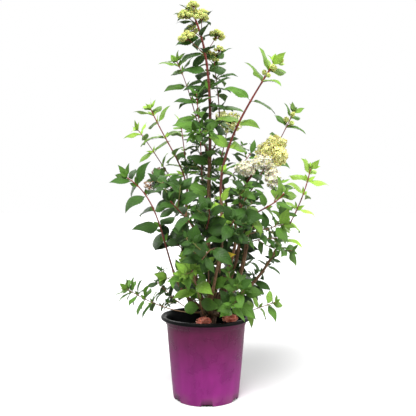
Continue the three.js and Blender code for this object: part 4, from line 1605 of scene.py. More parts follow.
class Shader:
    """A node tree in the making, with short ways to place and join its nodes."""

    def __init__(self, tree: NodeTree) -> None:
        """Takes the node tree to build in."""
        self.tree = tree

    def give(self, target: NodeSocket, value: object) -> None:
        """Gives an input a value, or links a socket to it.

        Args:
            target: The input.
            value: The value, or the socket it comes from.
        """
        if isinstance(value, NodeSocket):
            self.tree.links.new(value, target)
        else:
            target.default_value = value

    def node(self, kind: str, inputs: dict | None = None, **options: object) -> Node:
        """Places a node.

        Args:
            kind: The node's type.
            inputs: Values or sockets for its inputs, by name or number.
            options: Values for its options.

        Returns:
            The node.
        """
        made = self.tree.nodes.new(kind)
        for option, value in options.items():
            setattr(made, option, value)
        for name, value in (inputs or {}).items():
            self.give(made.inputs[name], value)
        return made

    def out(self, kind: str, inputs: dict | None = None, **options: object) -> NodeSocket:
        """Places a node and gives its first output."""
        return self.node(kind, inputs, **options).outputs[0]

    def math(self, operation: str, *values: object) -> NodeSocket:
        """Gives the result of a math node on values or sockets."""
        return self.out("ShaderNodeMath", dict(enumerate(values)), operation=operation)

    def ramp(
        self, value: object, low: float, high: float, to_low: float = 0, to_high: float = 1
    ) -> NodeSocket:
        """Gives a value eased from one range to another."""
        inputs = {"Value": value, "From Min": low, "From Max": high, "To Min": to_low, "To Max": to_high}
        return self.out("ShaderNodeMapRange", inputs, interpolation_type="SMOOTHSTEP")

    def noise(self, place: NodeSocket, fineness: object, detail: float = 2.0) -> NodeSocket:
        """Gives soft noise at a place."""
        return self.out("ShaderNodeTexNoise", {"Vector": place, "Scale": fineness, "Detail": detail})

    def mix(self, share: object, first: object, second: object) -> NodeSocket:
        """Gives the mix of two colours."""
        return self.node("ShaderNodeMix", {0: share, 6: first, 7: second}, data_type="RGBA").outputs[2]

    def scaled(self, colour: object, brightness: object, saturation: float = 1.0) -> NodeSocket:
        """Gives a colour made brighter or darker by a factor, and fuller or greyer."""
        inputs = {"Color": colour, "Value": brightness, "Saturation": saturation}
        return self.out("ShaderNodeHueSaturation", inputs)

    def varied(self, colour: object, mask: object, low: float, high: float) -> NodeSocket:
        """Gives a colour whose brightness runs from one factor to another with a mask."""
        return self.scaled(colour, self.ramp(mask, 0, 1, low, high))

    def place(self) -> NodeSocket:
        """Gives the place on the object, in metres."""
        return self.node("ShaderNodeTexCoord").outputs["Object"]

    def pattern_place(self) -> NodeSocket:
        """Gives the place on the piece's own pattern."""
        return self.out("ShaderNodeUVMap", uv_map="UVMap")

    def tint(self) -> NodeSocket:
        """Gives the piece's own tint."""
        return self.node("ShaderNodeAttribute", attribute_name="tint").outputs["Fac"]

    def part(self, place: NodeSocket, axis: int) -> NodeSocket:
        """Gives one part of a place."""
        return self.node("ShaderNodeSeparateXYZ", {0: place}).outputs[axis]

    def group(self, group: NodeTree, **inputs: object) -> NodeOutputs:
        """Places a node group with values for its inputs, and gives its outputs."""
        values = {name.capitalize(): value for name, value in inputs.items()}
        return self.node("ShaderNodeGroup", values, node_tree=group).outputs


class Surface(Shader):
    """A material in the making, round one Principled BSDF."""

    def __init__(self, name: str, **values: object) -> None:
        """Starts the material.

        Args:
            name: Its name.
            values: Values for the Principled BSDF's inputs, with underscores for spaces.
        """
        self.material = bpy.data.materials.new(name)
        self.material.use_nodes = True
        self.material.node_tree.nodes.clear()
        super().__init__(self.material.node_tree)
        inputs = {socket.replace("_", " "): value for socket, value in values.items()}
        self.bsdf = self.node("ShaderNodeBsdfPrincipled", inputs)
        self.node("ShaderNodeOutputMaterial", {"Surface": self.bsdf.outputs[0]})

    def mask(self, effect: NodeTree, **values: float) -> NodeSocket:
        """Gives the mask of an effect at the place on the object, with values for its sizes."""
        return self.group(effect, place=self.place(), **values)["Mask"]

    def paint(self, colour: NodeSocket) -> None:
        """Feeds the base colour."""
        self.give(self.bsdf.inputs["Base Color"], colour)

    def roughen(self, mask: NodeSocket, low: float, high: float) -> None:
        """Feeds the roughness, which runs from one value to another with a mask."""
        self.give(self.bsdf.inputs["Roughness"], self.ramp(mask, 0, 1, low, high))

    def bump(self, height: NodeSocket, strength: float, depth_mm: float) -> None:
        """Raises the surface by a height from 0 to 1, at a strength and a full depth."""
        inputs = {"Height": height, "Strength": strength, "Distance": depth_mm * MM}
        self.give(self.bsdf.inputs["Normal"], self.out("ShaderNodeBump", inputs))


def new_group(
    name: str, inputs: dict[str, float], outputs: Sequence[str] = ("Mask",)
) -> tuple[Shader, NodeOutputs, NodeInputs]:
    """Starts a shader node group that works from a place.

    Args:
        name: Its name.
        inputs: The names and first values of its inputs after the place.
        outputs: The names of its outputs, all values.

    Returns:
        Its shader, the sockets of its inputs and the sockets of its outputs.
    """
    tree = bpy.data.node_groups.new(name, "ShaderNodeTree")
    tree.interface.new_socket("Place", in_out="INPUT", socket_type="NodeSocketVector")
    for key, value in inputs.items():
        tree.interface.new_socket(key, in_out="INPUT", socket_type="NodeSocketFloat").default_value = value
    for key in outputs:
        tree.interface.new_socket(key, in_out="OUTPUT", socket_type="NodeSocketFloat")
    shader = Shader(tree)
    return shader, shader.node("NodeGroupInput").outputs, shader.node("NodeGroupOutput").inputs


class Effects:
    """The shader groups that several finishes share, each built once."""

    def __init__(self) -> None:
        """Builds the groups."""
        self.mottle = self._mottle()
        self.streaks = self._streaks()
        self.veins = self._veins()

    @staticmethod
    def _mottle() -> NodeTree:
        """Soft blotches over a fine speckle, as on anything that has grown, aged or been splashed.

        Returns:
            The effect.
        """
        shader, given, out = new_group("mottle", {"Blotch": 60.0, "Speckle": 600.0, "Share": 0.35})
        blotches = shader.noise(given["Place"], given["Blotch"], 3.0)
        speckle = shader.noise(given["Place"], given["Speckle"])
        mixed = shader.out("ShaderNodeMix", {0: given["Share"], 2: blotches, 3: speckle})
        shader.give(out["Mask"], shader.ramp(mixed, 0.32, 0.68))
        return shader.tree

    @staticmethod
    def _streaks() -> NodeTree:
        """Fine upright streaks, as of bark fibres and of drips down a wall.

        Returns:
            The effect.
        """
        shader, given, out = new_group("streaks", {"Fineness": 500.0, "Stretch": 0.08})
        stretch = shader.out("ShaderNodeCombineXYZ", {0: 1.0, 1: 1.0, 2: given["Stretch"]})
        squeezed = shader.out("ShaderNodeVectorMath", {0: given["Place"], 1: stretch}, operation="MULTIPLY")
        fibres = shader.noise(squeezed, given["Fineness"], 4.0)
        shader.give(out["Mask"], shader.ramp(fibres, 0.35, 0.65))
        return shader.tree

    @staticmethod
    def _veins() -> NodeTree:
        """A midrib with pairs of veins that lean to the tip, on a leaf's own pattern places.

        Returns:
            The effect.
        """
        shader, given, out = new_group("veins", {"Pairs": 8.0, "Lean": 0.32}, ("Mask", "Quilt"))
        across = shader.math("MULTIPLY", shader.part(given["Place"], 1), 2.0)
        aside = shader.math("ABSOLUTE", shader.math("SUBTRACT", across, 1.0))
        lean = shader.math("MULTIPLY", aside, given["Lean"])
        leaning = shader.math("SUBTRACT", shader.part(given["Place"], 0), lean)
        turns = shader.math("MULTIPLY", shader.math("MULTIPLY", leaning, given["Pairs"]), pi)
        quilt = shader.math("ABSOLUTE", shader.math("SINE", turns))
        lateral = shader.ramp(quilt, 0.24, 0.05)
        midrib = shader.ramp(aside, 0.075, 0.03)
        fading = shader.math("MULTIPLY", lateral, shader.ramp(aside, 1.0, 0.55, 0.2, 0.75))
        shader.give(out["Mask"], shader.math("MAXIMUM", midrib, fading))
        shader.give(out["Quilt"], quilt)
        return shader.tree


# Finishes.


@dataclass(frozen=True)
class Finish:
    """One finish: its name, and its two colours as its kind uses them."""

    name: str
    colour: Colour
    second: Colour = (0.0, 0.0, 0.0, 1.0)

    def material(self, effects: Effects) -> Material:
        """Builds the material."""
        raise NotImplementedError


class LeafFinish(Finish):
    """One green, with paler veins, a paler underside, and a tint that varies from leaf to leaf."""

    VEIN_LIFT = 1.32
    UNDER_LIFT = 1.5
    UNDER_SATURATION = 0.8

    def material(self, effects: Effects) -> Material:
        """Builds the leaf material.

        Args:
            effects: The shared effects.

        Returns:
            The material.
        """
        surface = Surface(self.name, Specular_IOR_Level=0.25)
        veins = surface.group(effects.veins, place=surface.pattern_place())
        mottle = surface.mask(effects.mottle, blotch=45.0, speckle=380.0)
        lively = surface.varied(self.colour, surface.tint(), 0.74, 1.26)
        dappled = surface.varied(lively, mottle, 0.82, 1.18)
        veined = surface.mix(veins["Mask"], dappled, surface.scaled(dappled, self.VEIN_LIFT))
        back = surface.node("ShaderNodeNewGeometry").outputs["Backfacing"]
        dusty = surface.scaled(veined, self.UNDER_LIFT, self.UNDER_SATURATION)
        surface.paint(surface.mix(back, veined, dusty))
        surface.roughen(mottle, 0.42, 0.6)
        surface.bump(veins["Quilt"], 0.7, 0.5)
        return surface.material


class StemFinish(Finish):
    """A smooth young stem that turns from its first colour at the tip to its second at the foot."""

    def material(self, effects: Effects) -> Material:
        """Builds the stem material. The tint runs from 0 at the foot to 1 at the tip.

        Args:
            effects: The shared effects.

        Returns:
            The material.
        """
        surface = Surface(self.name, Roughness=0.45)
        streaks = surface.mask(effects.streaks, fineness=900.0, stretch=0.15)
        colour = surface.mix(surface.tint(), self.second, self.colour)
        surface.paint(surface.varied(colour, streaks, 0.8, 1.2))
        surface.bump(streaks, 0.3, 0.15)
        return surface.material


class BarkFinish(Finish):
    """Thin peeling bark in streaks of a dark and a pale brown, with pale breathing pores."""

    PORE_FINENESS = 210.0
    PORE_LIFT = 1.3

    def material(self, effects: Effects) -> Material:
        """Builds the bark material.

        Args:
            effects: The shared effects.

        Returns:
            The material.
        """
        surface = Surface(self.name)
        streaks = surface.mask(effects.streaks, fineness=520.0, stretch=0.12)
        mottle = surface.mask(effects.mottle, blotch=35.0, speckle=300.0)
        aged = surface.varied(surface.mix(streaks, self.colour, self.second), mottle, 0.75, 1.2)
        pores = surface.out("ShaderNodeTexVoronoi", {"Vector": surface.place(), "Scale": self.PORE_FINENESS})
        pore = surface.ramp(pores, 0.16, 0.08)
        surface.paint(surface.mix(pore, aged, surface.scaled(self.second, self.PORE_LIFT)))
        surface.roughen(streaks, 0.9, 0.7)
        surface.bump(streaks, 0.7, 0.4)
        return surface.material


class PetalFinish(Finish):
    """Thin petals, of one colour at the rim and another towards the middle."""

    def material(self, effects: Effects) -> Material:
        """Builds the petal material. The pattern place runs from the heart to the rim.

        Args:
            effects: The shared effects.

        Returns:
            The material.
        """
        surface = Surface(self.name, Roughness=0.6, Subsurface_Weight=0.15, Subsurface_Scale=0.002)
        outward = surface.ramp(surface.part(surface.pattern_place(), 0), 0.15, 0.75)
        mottle = surface.mask(effects.mottle, blotch=70.0, speckle=500.0)
        surface.paint(surface.varied(surface.mix(outward, self.second, self.colour), mottle, 0.86, 1.1))
        surface.bump(mottle, 0.25, 0.3)
        return surface.material


@dataclass(frozen=True)
class PlasticFinish(Finish):
    """Thin moulded plastic with a satin skin, painted shade that darkens it higher up, faint flow marks and
    dust near its foot.
    """

    roughness: float = 0.4
    dust: float = 0.1
    specular: float = 0.1
    DUST = srgb(128, 110, 96)

    def material(self, effects: Effects) -> Material:
        """Builds the plastic material.

        Args:
            effects: The shared effects.

        Returns:
            The material.
        """
        surface = Surface(self.name, IOR=1.49, Specular_IOR_Level=self.specular)
        mottle = surface.mask(effects.mottle, blotch=22.0, speckle=420.0, share=0.12)
        streaks = surface.mask(effects.streaks, fineness=60.0, stretch=0.12)
        height = surface.part(surface.place(), 2)
        # Painted shade: the second colour darkens the wall from 2 cm up to 20 cm high, where the lip and the
        # foliage shade it.
        painted_top_shade = surface.mix(surface.ramp(height, 0.02, 0.2), self.colour, self.second)
        flowed = surface.varied(surface.varied(painted_top_shade, mottle, 0.9, 1.1), streaks, 0.94, 1.06)
        splash = surface.math("MULTIPLY", surface.ramp(height, 0.035, 0.0), self.dust)
        surface.paint(surface.mix(surface.math("MULTIPLY", splash, mottle), flowed, self.DUST))
        surface.roughen(mottle, self.roughness - 0.08, self.roughness + 0.1)
        surface.bump(mottle, 0.15, 0.2)
        return surface.material


class MixFinish(Finish):
    """Damp shredded bark, from near black to red brown chip by chip."""

    def material(self, effects: Effects) -> Material:
        """Builds the potting mix material.

        Args:
            effects: The shared effects.

        Returns:
            The material.
        """
        surface = Surface(self.name, Roughness=0.92)
        mottle = surface.mask(effects.mottle, blotch=120.0, speckle=900.0, share=0.5)
        surface.paint(surface.mix(mottle, self.colour, self.second))
        surface.bump(mottle, 0.8, 1.2)
        return surface.material


GREENS = {
    DARK: LeafFinish("leaf_dark_green", srgb(52, 86, 28)),
    MID: LeafFinish("leaf_mid_green", srgb(80, 120, 40)),
    LIGHT: LeafFinish("leaf_light_green", srgb(112, 150, 54)),
    LIME: LeafFinish("leaf_young_lime", srgb(152, 192, 70)),
    YELLOW: LeafFinish("leaf_dying_yellow", srgb(222, 196, 60)),
    # Painted shade: a darker green for leaves inside the crown.
    DEEP: LeafFinish("leaf_painted_shade_green", srgb(36, 62, 20)),
}
FINISHES = (
    *GREENS.values(),
    StemFinish("stem_crimson", srgb(150, 42, 38), srgb(100, 52, 38)),
    StemFinish("stem_green", srgb(128, 142, 66), srgb(122, 96, 62)),
    StemFinish("stem_tan", srgb(142, 92, 70), srgb(128, 98, 66)),
    BarkFinish("cane_bark", srgb(88, 60, 41), srgb(140, 107, 74)),
    BarkFinish("knuckle_bark", srgb(78, 58, 44), srgb(140, 112, 86)),
    PetalFinish("petal_lime", srgb(248, 245, 178), srgb(226, 222, 128)),
    PetalFinish("petal_cream", srgb(252, 247, 232), srgb(234, 228, 176)),
    # A paler copy of the lime petal for the back head: partly its own paler colour, partly painted light
    # against the leader's shade.
    PetalFinish("petal_pale_lime_painted_light", srgb(255, 255, 196), srgb(240, 242, 150)),
    PetalFinish("petal_spent", srgb(224, 190, 160), srgb(170, 128, 92)),
    PetalFinish("petal_fallen", srgb(255, 176, 154), srgb(250, 142, 120)),
    PetalFinish("bud_yellow_green", srgb(246, 248, 158), srgb(214, 220, 122)),
    PetalFinish("bud_green", srgb(204, 212, 106), srgb(166, 180, 84)),
    # The second colour of each plastic is painted shade towards the top of the pot.
    PlasticFinish("pot_magenta", srgb(138, 31, 118), srgb(94, 16, 62), 0.32, 0.35, 0.4),
    PlasticFinish("pot_black", srgb(15, 16, 17), srgb(10, 11, 12), 0.42, 0.1, 0.1),
    MixFinish("bark_mix", srgb(26, 19, 15), srgb(66, 46, 34)),
)


# The pieces.


@dataclass
class LeafShape:
    """A real leaf blade as shares of its length, and the grid it is made on."""

    rows: int = 12
    teeth: int = 10
    columns: tuple[float, ...] = (-0.52, 0.0, 0.52)
    petiole: float = 0.09
    half_width: float = 0.278
    base_power: float = 0.95
    tip_power: float = 1.5
    fold: float = 0.46
    droop: float = 0.48
    tooth_depth: float = 0.06
    tooth_lean: float = 0.4
    quilt: float = 0.012
    vein_pairs: int = 6
    vein_lean: float = 0.3
    wave: float = 0.024
    petiole_radius: float = 0.75
    small_below: float = 27
    slim: Pair = (0.72, 0.28)
    full_size: float = 60
    waves: float = 9
    stray_width: float = 0.12
    stray_fold: float = 0.5
    stray_twist: float = 0.35
    stray_sway: float = 0.06

    def profile(self, share: np.ndarray) -> np.ndarray:
        """Gives the share of the full width at shares of the length.

        Args:
            share: The shares of the length, from the base.

        Returns:
            The shares of the width.
        """
        widest = self.base_power / (self.base_power + self.tip_power)
        full = widest**self.base_power * (1 - widest) ** self.tip_power
        return np.clip(share, 0, 1) ** self.base_power * np.clip(1 - share, 0, 1) ** self.tip_power / full

    def template(self) -> Grid:
        """Lays the blade out flat.

        Returns:
            The share of the length and the share of the half width at each corner, and the triangles.
        """
        lengths = [0.0, 1.0]
        widths = [0.0, 0.0]
        chains: list[list[int]] = []
        for column in (-1.0, *self.columns, 1.0):
            toothed = abs(column) == 1.0
            count = 2 * self.teeth if toothed else self.rows
            chain = [0]
            for i in range(1, count):
                share = i / count
                wide = column
                if toothed and i % 2:
                    share += self.tooth_lean / count
                elif toothed:
                    wide = column * (1 - self.tooth_depth)
                lengths.append(share)
                widths.append(wide)
                chain.append(len(lengths) - 1)
            chains.append([*chain, 1])
        faces: Faces = []
        for left, right in zip(chains, chains[1:]):
            faces += self._strip(left, right, lengths)
        return np.array(lengths), np.array(widths), np.array(faces)

    @staticmethod
    def _strip(left: list[int], right: list[int], lengths: list[float]) -> Faces:
        """Fills the strip between two chains of corners with triangles that face up.

        Args:
            left: The corners on one side.
            right: The corners on the other.
            lengths: How far along the leaf each corner is.

        Returns:
            The triangles.
        """
        faces = []
        i = j = 0
        while i + 1 < len(left) or j + 1 < len(right):
            left_next = lengths[left[i + 1]] if i + 1 < len(left) else inf
            right_next = lengths[right[j + 1]] if j + 1 < len(right) else inf
            if left_next <= right_next:
                face = (left[i], right[j], left[i + 1])
                i += 1
            else:
                face = (left[i], right[j], right[j + 1])
                j += 1
            if len(set(face)) == 3:
                faces.append(face)
        return faces


@dataclass
class Foliage:
    """All the leaves, in pieces by region of the crown, with painted shade inside it and below a height."""

    crown: Crown
    finishes: Materials
    shape: LeafShape = field(default_factory=LeafShape)
    small_shape: LeafShape = field(default_factory=lambda: LeafShape(rows=4, teeth=5, columns=(0.0,)))
    yellow_at: Triple = (61, -60, 361)
    yellow_least: float = 30
    # Leaves rooted within this reach of the axis and below shade_top get the painted shade.
    inside: float = 110
    shade_top: float = 540
    young_share: float = 0.5
    old_shares: Pair = (0.3, 0.55)

    REGIONS = {
        "leaves_leader": ("leader_top", "leader_left_high", "leader_left", "leader_twin"),
        "leaves_right_high": ("right_tall", "bloom_head", "bloom_shoot", "far_right", "far_right_low"),
        "leaves_right_mid": (
            "pruned_up", "pruned_right", "arch_right", "arch_low", "arch_up", "right_mid", "core_right",
        ),
        "leaves_left": ("far_left", "left_tall", "left_mid", "left_inner", "core_left"),
        "leaves_back": (
            "back_left", "spent_panicle", "back_tall", "back_bloom", "back_right", "core_back",
        ),
        "leaves_rear": ("rear_mid", "rear_right", "rear_left", "low_back", "low_back_right"),
        "leaves_front": ("front_left", "front_mid", "front_right", "front_centre", "core_front"),
        "leaves_low": (
            "front_low", "low_left", "low_left_back", "low_right", "low_right_back", "low_front_right",
        ),
    }
    STEPS = (DEEP, DARK, MID, LIGHT, LIME)

    def tone_of(self, leaf: Leaf) -> Tone:
        """Gives a leaf's green: lighter on the young pairs at a tip, darker on old ones, and more often so,
        with painted shade, inside the crown and below a height.

        Args:
            leaf: The leaf.

        Returns:
            Its green.
        """
        if leaf.tone not in self.STEPS:
            return leaf.tone
        number = self.STEPS.index(leaf.tone)
        chance = Stream(leaf.seed + SEED.green).share()
        if leaf.pair == 0 or (leaf.pair == 1 and chance < self.young_share):
            number += 1
        # Painted shade: old leaves near the axis and below shade_top darken more often, down to the painted
        # shade green.
        inside = hypot(leaf.root.x, leaf.root.y) < self.inside and leaf.root.z < self.shade_top
        if leaf.pair > 2 and chance < self.old_shares[inside]:
            number -= 1
        return self.STEPS[max(0 if inside else 1, min(number, len(self.STEPS) - 1))]

    def blade(self, leaf: Leaf, flat: tuple[np.ndarray, ...]) -> Grid:
        """Bends a flat blade to one leaf.

        Args:
            leaf: The leaf.
            flat: The flat blade.

        Returns:
            The corners, the triangles and the pattern places.
        """
        shape = self.shape
        random = Stream(leaf.seed + SEED.blade)
        share, wide, faces = flat
        profile = shape.profile(share)
        slim = min(1.0, shape.slim[0] + shape.slim[1] * leaf.size / shape.full_size)
        half = leaf.size * shape.half_width * slim * (1 + shape.stray_width * random.sway())
        reach = shape.petiole + (1 - shape.petiole) * share
        aside = wide * profile * half
        outward = np.abs(wide)
        lean = (share - shape.vein_lean * outward) * shape.vein_pairs
        depth = shape.quilt * leaf.size * (leaf.size >= shape.small_below)
        quilt = np.abs(np.sin(pi * lean)) * depth * (1 - outward**4) * profile
        phases = share * shape.waves + ANY_PHASE * random.share() + 2 * np.sign(wide)
        wave = np.sin(phases) * outward**2 * shape.wave * leaf.size * profile
        fold = shape.fold * (1 + shape.stray_fold * random.sway())
        raised = outward * profile * half * (sin(fold) - shape.droop * outward * profile) + quilt + wave
        twist = shape.stray_twist * random.sway() * share
        sway = shape.stray_sway * random.sway() * leaf.size * share**2
        across_part = aside * cos(fold) * np.cos(twist) - raised * np.sin(twist) + sway
        up_part = aside * cos(fold) * np.sin(twist) + raised * np.cos(twist)
        angle = leaf.arch * reach
        radius = leaf.size / leaf.arch
        along = np.array(leaf.aim.along)
        face = np.array(leaf.aim.face)
        across = np.array(leaf.aim.along.cross(leaf.aim.face))
        spine = np.array(leaf.root) + np.outer(radius * np.sin(angle), along)
        spine -= np.outer(radius * (1 - np.cos(angle)), face)
        normal = np.outer(np.cos(angle), face) + np.outer(np.sin(angle), along)
        corners = spine + np.outer(across_part, across) + normal * up_part[:, None]
        return corners, faces, np.column_stack([share, (wide + 1) / 2])

    def build(self) -> None:
        """Builds every piece of foliage, with one dying leaf near the pruned cane."""
        spot = Vector(self.yellow_at)
        masses = self.crown.masses
        leaves = [leaf for mass in masses for leaf in mass.leaves if leaf.size > self.yellow_least]
        dying = min(leaves, key=lambda leaf: (leaf.root + leaf.aim.along * 20 - spot).length)
        dying.tone = YELLOW
        by_name = {mass.shoot.name: mass for mass in masses}
        large, small = self.shape.template(), self.small_shape.template()
        greens = [self.finishes[GREENS[tone].name] for tone in Tone]
        for name, members in self.REGIONS.items():
            pile = MeshPile()
            for leaf in (leaf for member in members for leaf in by_name[member].leaves):
                flat = small if leaf.size < self.shape.small_below else large
                tint = Stream(leaf.seed + SEED.tint).share()
                pile.add(*self.blade(leaf, flat), tint, self.tone_of(leaf).value)
            settle(pile.build(name, greens), "foliage", *members)


class Skin(IntEnum):
    """The skins of stems and stalks, numbered as the finishes on their pieces."""

    RED = 0
    GREEN = 1
    TAN = 2


@dataclass
class Stems:
    """The young stems of the shoots, their side twigs, and the stalks of leaves, buds and lobes.

    The thin stems are drawn in, as the model's three-sided ones are narrower than round ones.
    """

    crown: Crown
    finishes: Materials
    red_above: float = 480.0
    thick_tip: float = 0.52
    slender_below: float = 3.5
    slender: float = 0.74
    ribs: int = 10
    rib_reaches: Pair = (0.5, 0.78)
    rib_foot: float = 0.9
    stem_sides: int = 8
    stem_rings: int = 5
    twig_rings: int = 3
    sunk: Triple = (3.0, 1.0, 0.5)
    redden: float = 1.5
    stalk_sides: int = 6
    petiole_sides: int = 4
    lobe_stalk: Pair = (1.7, 1.2)
    knob_stalk: Pair = (1.2, 0.9)
    sprig_stalk: Pair = (0.9, 0.6)
    rib: Pair = (0.7, 0.45)
    fallen_stalk: Pair = (1.3, 0.9)
    tints: Pair = (0.4, 0.6)
    flare: float = 1.04
    swell: float = 0.3
    swell_length: float = 2.0
    swell_step: float = 2.2
    tip_rings: Triple = (6.0, 4.0, 2.0)
    tip_bud: Triple = (1.25, 1.1, 1.6)
    petiole: tuple[Pair, ...] = ((0.0, 1.25), (0.5, 0.9), (1.0, 0.8), (3.2, 0.55), (6.5, 0.3))

    def _rings(
        self, limb: Limb, radii: Pair, per_step: int, nodes: Sequence[float], sunk: float
    ) -> list[Ring]:
        """Gives the rings of a stem that swells a little at each pair of leaves.

        Args:
            limb: The stem's limb.
            radii: Its radii at foot and tip.
            per_step: The rings on each of the limb's stretches.
            nodes: The distances from the tip at which it swells.
            sunk: How far its foot goes into what carries it.

        Returns:
            The rings from foot to tip.
        """
        count = limb.steps * per_step
        shares = {i / count for i in range(count + 1)}
        for node in nodes:
            middle = 1 - node / limb.length
            for step in (-1, 0, 1):
                shares.add(min(1.0, max(0.0, middle + step * self.swell_step / limb.length)))
        shares |= {1 - distance / limb.length for distance in self.tip_rings}
        widest, narrowed, fade = self.tip_bud
        rings = [limb.at(0).ring(radii[0] * self.flare, sunk)]
        for share in sorted(shares):
            radius = radii[0] + (radii[1] - radii[0]) * share
            from_tip = (1 - share) * limb.length
            swell = sum(exp(-(((from_tip - node) / self.swell_length) ** 2)) for node in nodes)
            bud = widest - narrowed * exp(-from_tip / fade) if from_tip < self.tip_rings[0] else 1.0
            rings.append(limb.at(share).ring(radius * bud * (1 + self.swell * min(1.0, swell))))
        return rings

    def build(self) -> None:
        """Builds the stems and the stalks as two pieces."""
        stems, stalks = MeshPile(), MeshPile()
        for mass in self.crown.masses:
            self._stem(stems, mass)
            for twig in mass.twigs:
                rings = self._rings(twig.limb, twig.radii, self.twig_rings, (), self.sunk[2])
                stems.add_tube(rings, self.stalk_sides, finish=Skin.GREEN)
            for start, end in mass.lobe_stalks:
                self._stalk(stalks, start, end, self.lobe_stalk)
            for knob in mass.knobs:
                if (knob.centre - knob.stalk_from).length > 1:
                    self._stalk(stalks, knob.stalk_from, knob.centre, self.knob_stalk)
                self._ribs(stalks, knob)
            for sprig in mass.sprigs:
                self._stalk(stalks, sprig.stalk_from, sprig.centre, self.sprig_stalk)
            for leaf in mass.leaves:
                self._petiole(stalks, leaf)
        self._stalk(stalks, *map(Vector, FALLEN_STALK), self.fallen_stalk, Skin.TAN)
        finishes = [self.finishes[name] for name in ("stem_crimson", "stem_green", "stem_tan")]
        settle(stems.build("stems", finishes), "foliage")
        settle(stalks.build("stalks", finishes), "foliage")

    def _stem(self, pile: MeshPile, mass: Mass) -> None:
        """Adds the main stem of a mass, red where it is young and high.

        Args:
            pile: What it is added to.
            mass: The mass.
        """
        shoot = mass.shoot
        nodes = shoot.rule.stations(mass.limb.length)
        stout = 1.0 if shoot.radius > self.slender_below else self.slender
        thick = stout * max(mass.radii[1], self.thick_tip * shoot.radius)
        sunk = self.sunk[0 if shoot.side or shoot.foot else 1]
        rings = self._rings(mass.limb, (stout * shoot.radius, thick), self.stem_rings, nodes, sunk)
        corners, faces, places = tube_mesh(rings, self.stem_sides)
        skin = Skin.RED if shoot.tip[2] > self.red_above else Skin.TAN
        pile.add(corners, faces, places, along_share(places) ** self.redden, skin)

    def _ribs(self, pile: MeshPile, knob: Knob) -> None:
        """Adds the ribs that spread from a knob's stalk to its buds.

        Args:
            pile: What they are added to.
            knob: The knob.
        """
        turn = UP.rotation_difference(knob.facing).to_matrix()
        foot = knob.centre - knob.facing * (self.rib_foot * BUD.height * knob.scale)
        for number in range(self.ribs):
            reach = BUD.radius * knob.scale * self.rib_reaches[number % 2]
            end = turn @ Vector((*around(reach, number, self.ribs), 1.0)) + knob.centre
            self._stalk(pile, foot, end, self.rib)

    def _stalk(self, pile: MeshPile, start: Vector, end: Vector, radii: Pair, skin: Skin = Skin.RED) -> None:
        """Adds a straight stalk with a slight bow.

        Args:
            pile: The mesh it goes into.
            start: Its foot.
            end: Its tip.
            radii: Its radii at foot and tip.
            skin: Its skin.
        """
        out = (end - start).normalized()
        limb = Limb(start, (out + UP * 0.25).normalized(), start.lerp(end, 0.5), end, 3)
        rings = [spot.ring(radii[0] + (radii[1] - radii[0]) * i / 3) for i, spot in enumerate(limb.rings)]
        pile.add_tube(rings, self.stalk_sides, self.tints[0], skin)

    def _petiole(self, pile: MeshPile, leaf: Leaf) -> None:
        """Adds a leaf's stalk, which runs on under the blade as its midrib.

        Args:
            pile: What it is added to.
            leaf: The leaf.
        """
        shape = LeafShape()
        across = leaf.aim.along.cross(leaf.aim.face)
        rings = []
        for share, radius in self.petiole:
            point, normal = leaf.midrib(shape.petiole * share)
            under = 0.4 * radius if share > 1 else 0.0
            thick = radius * shape.petiole_radius * min(1.0, leaf.size / 45)
            rings.append(Ring(point - normal * under, across, normal, thick))
        pile.add_tube(rings, self.petiole_sides, self.tints[1], Skin.GREEN)


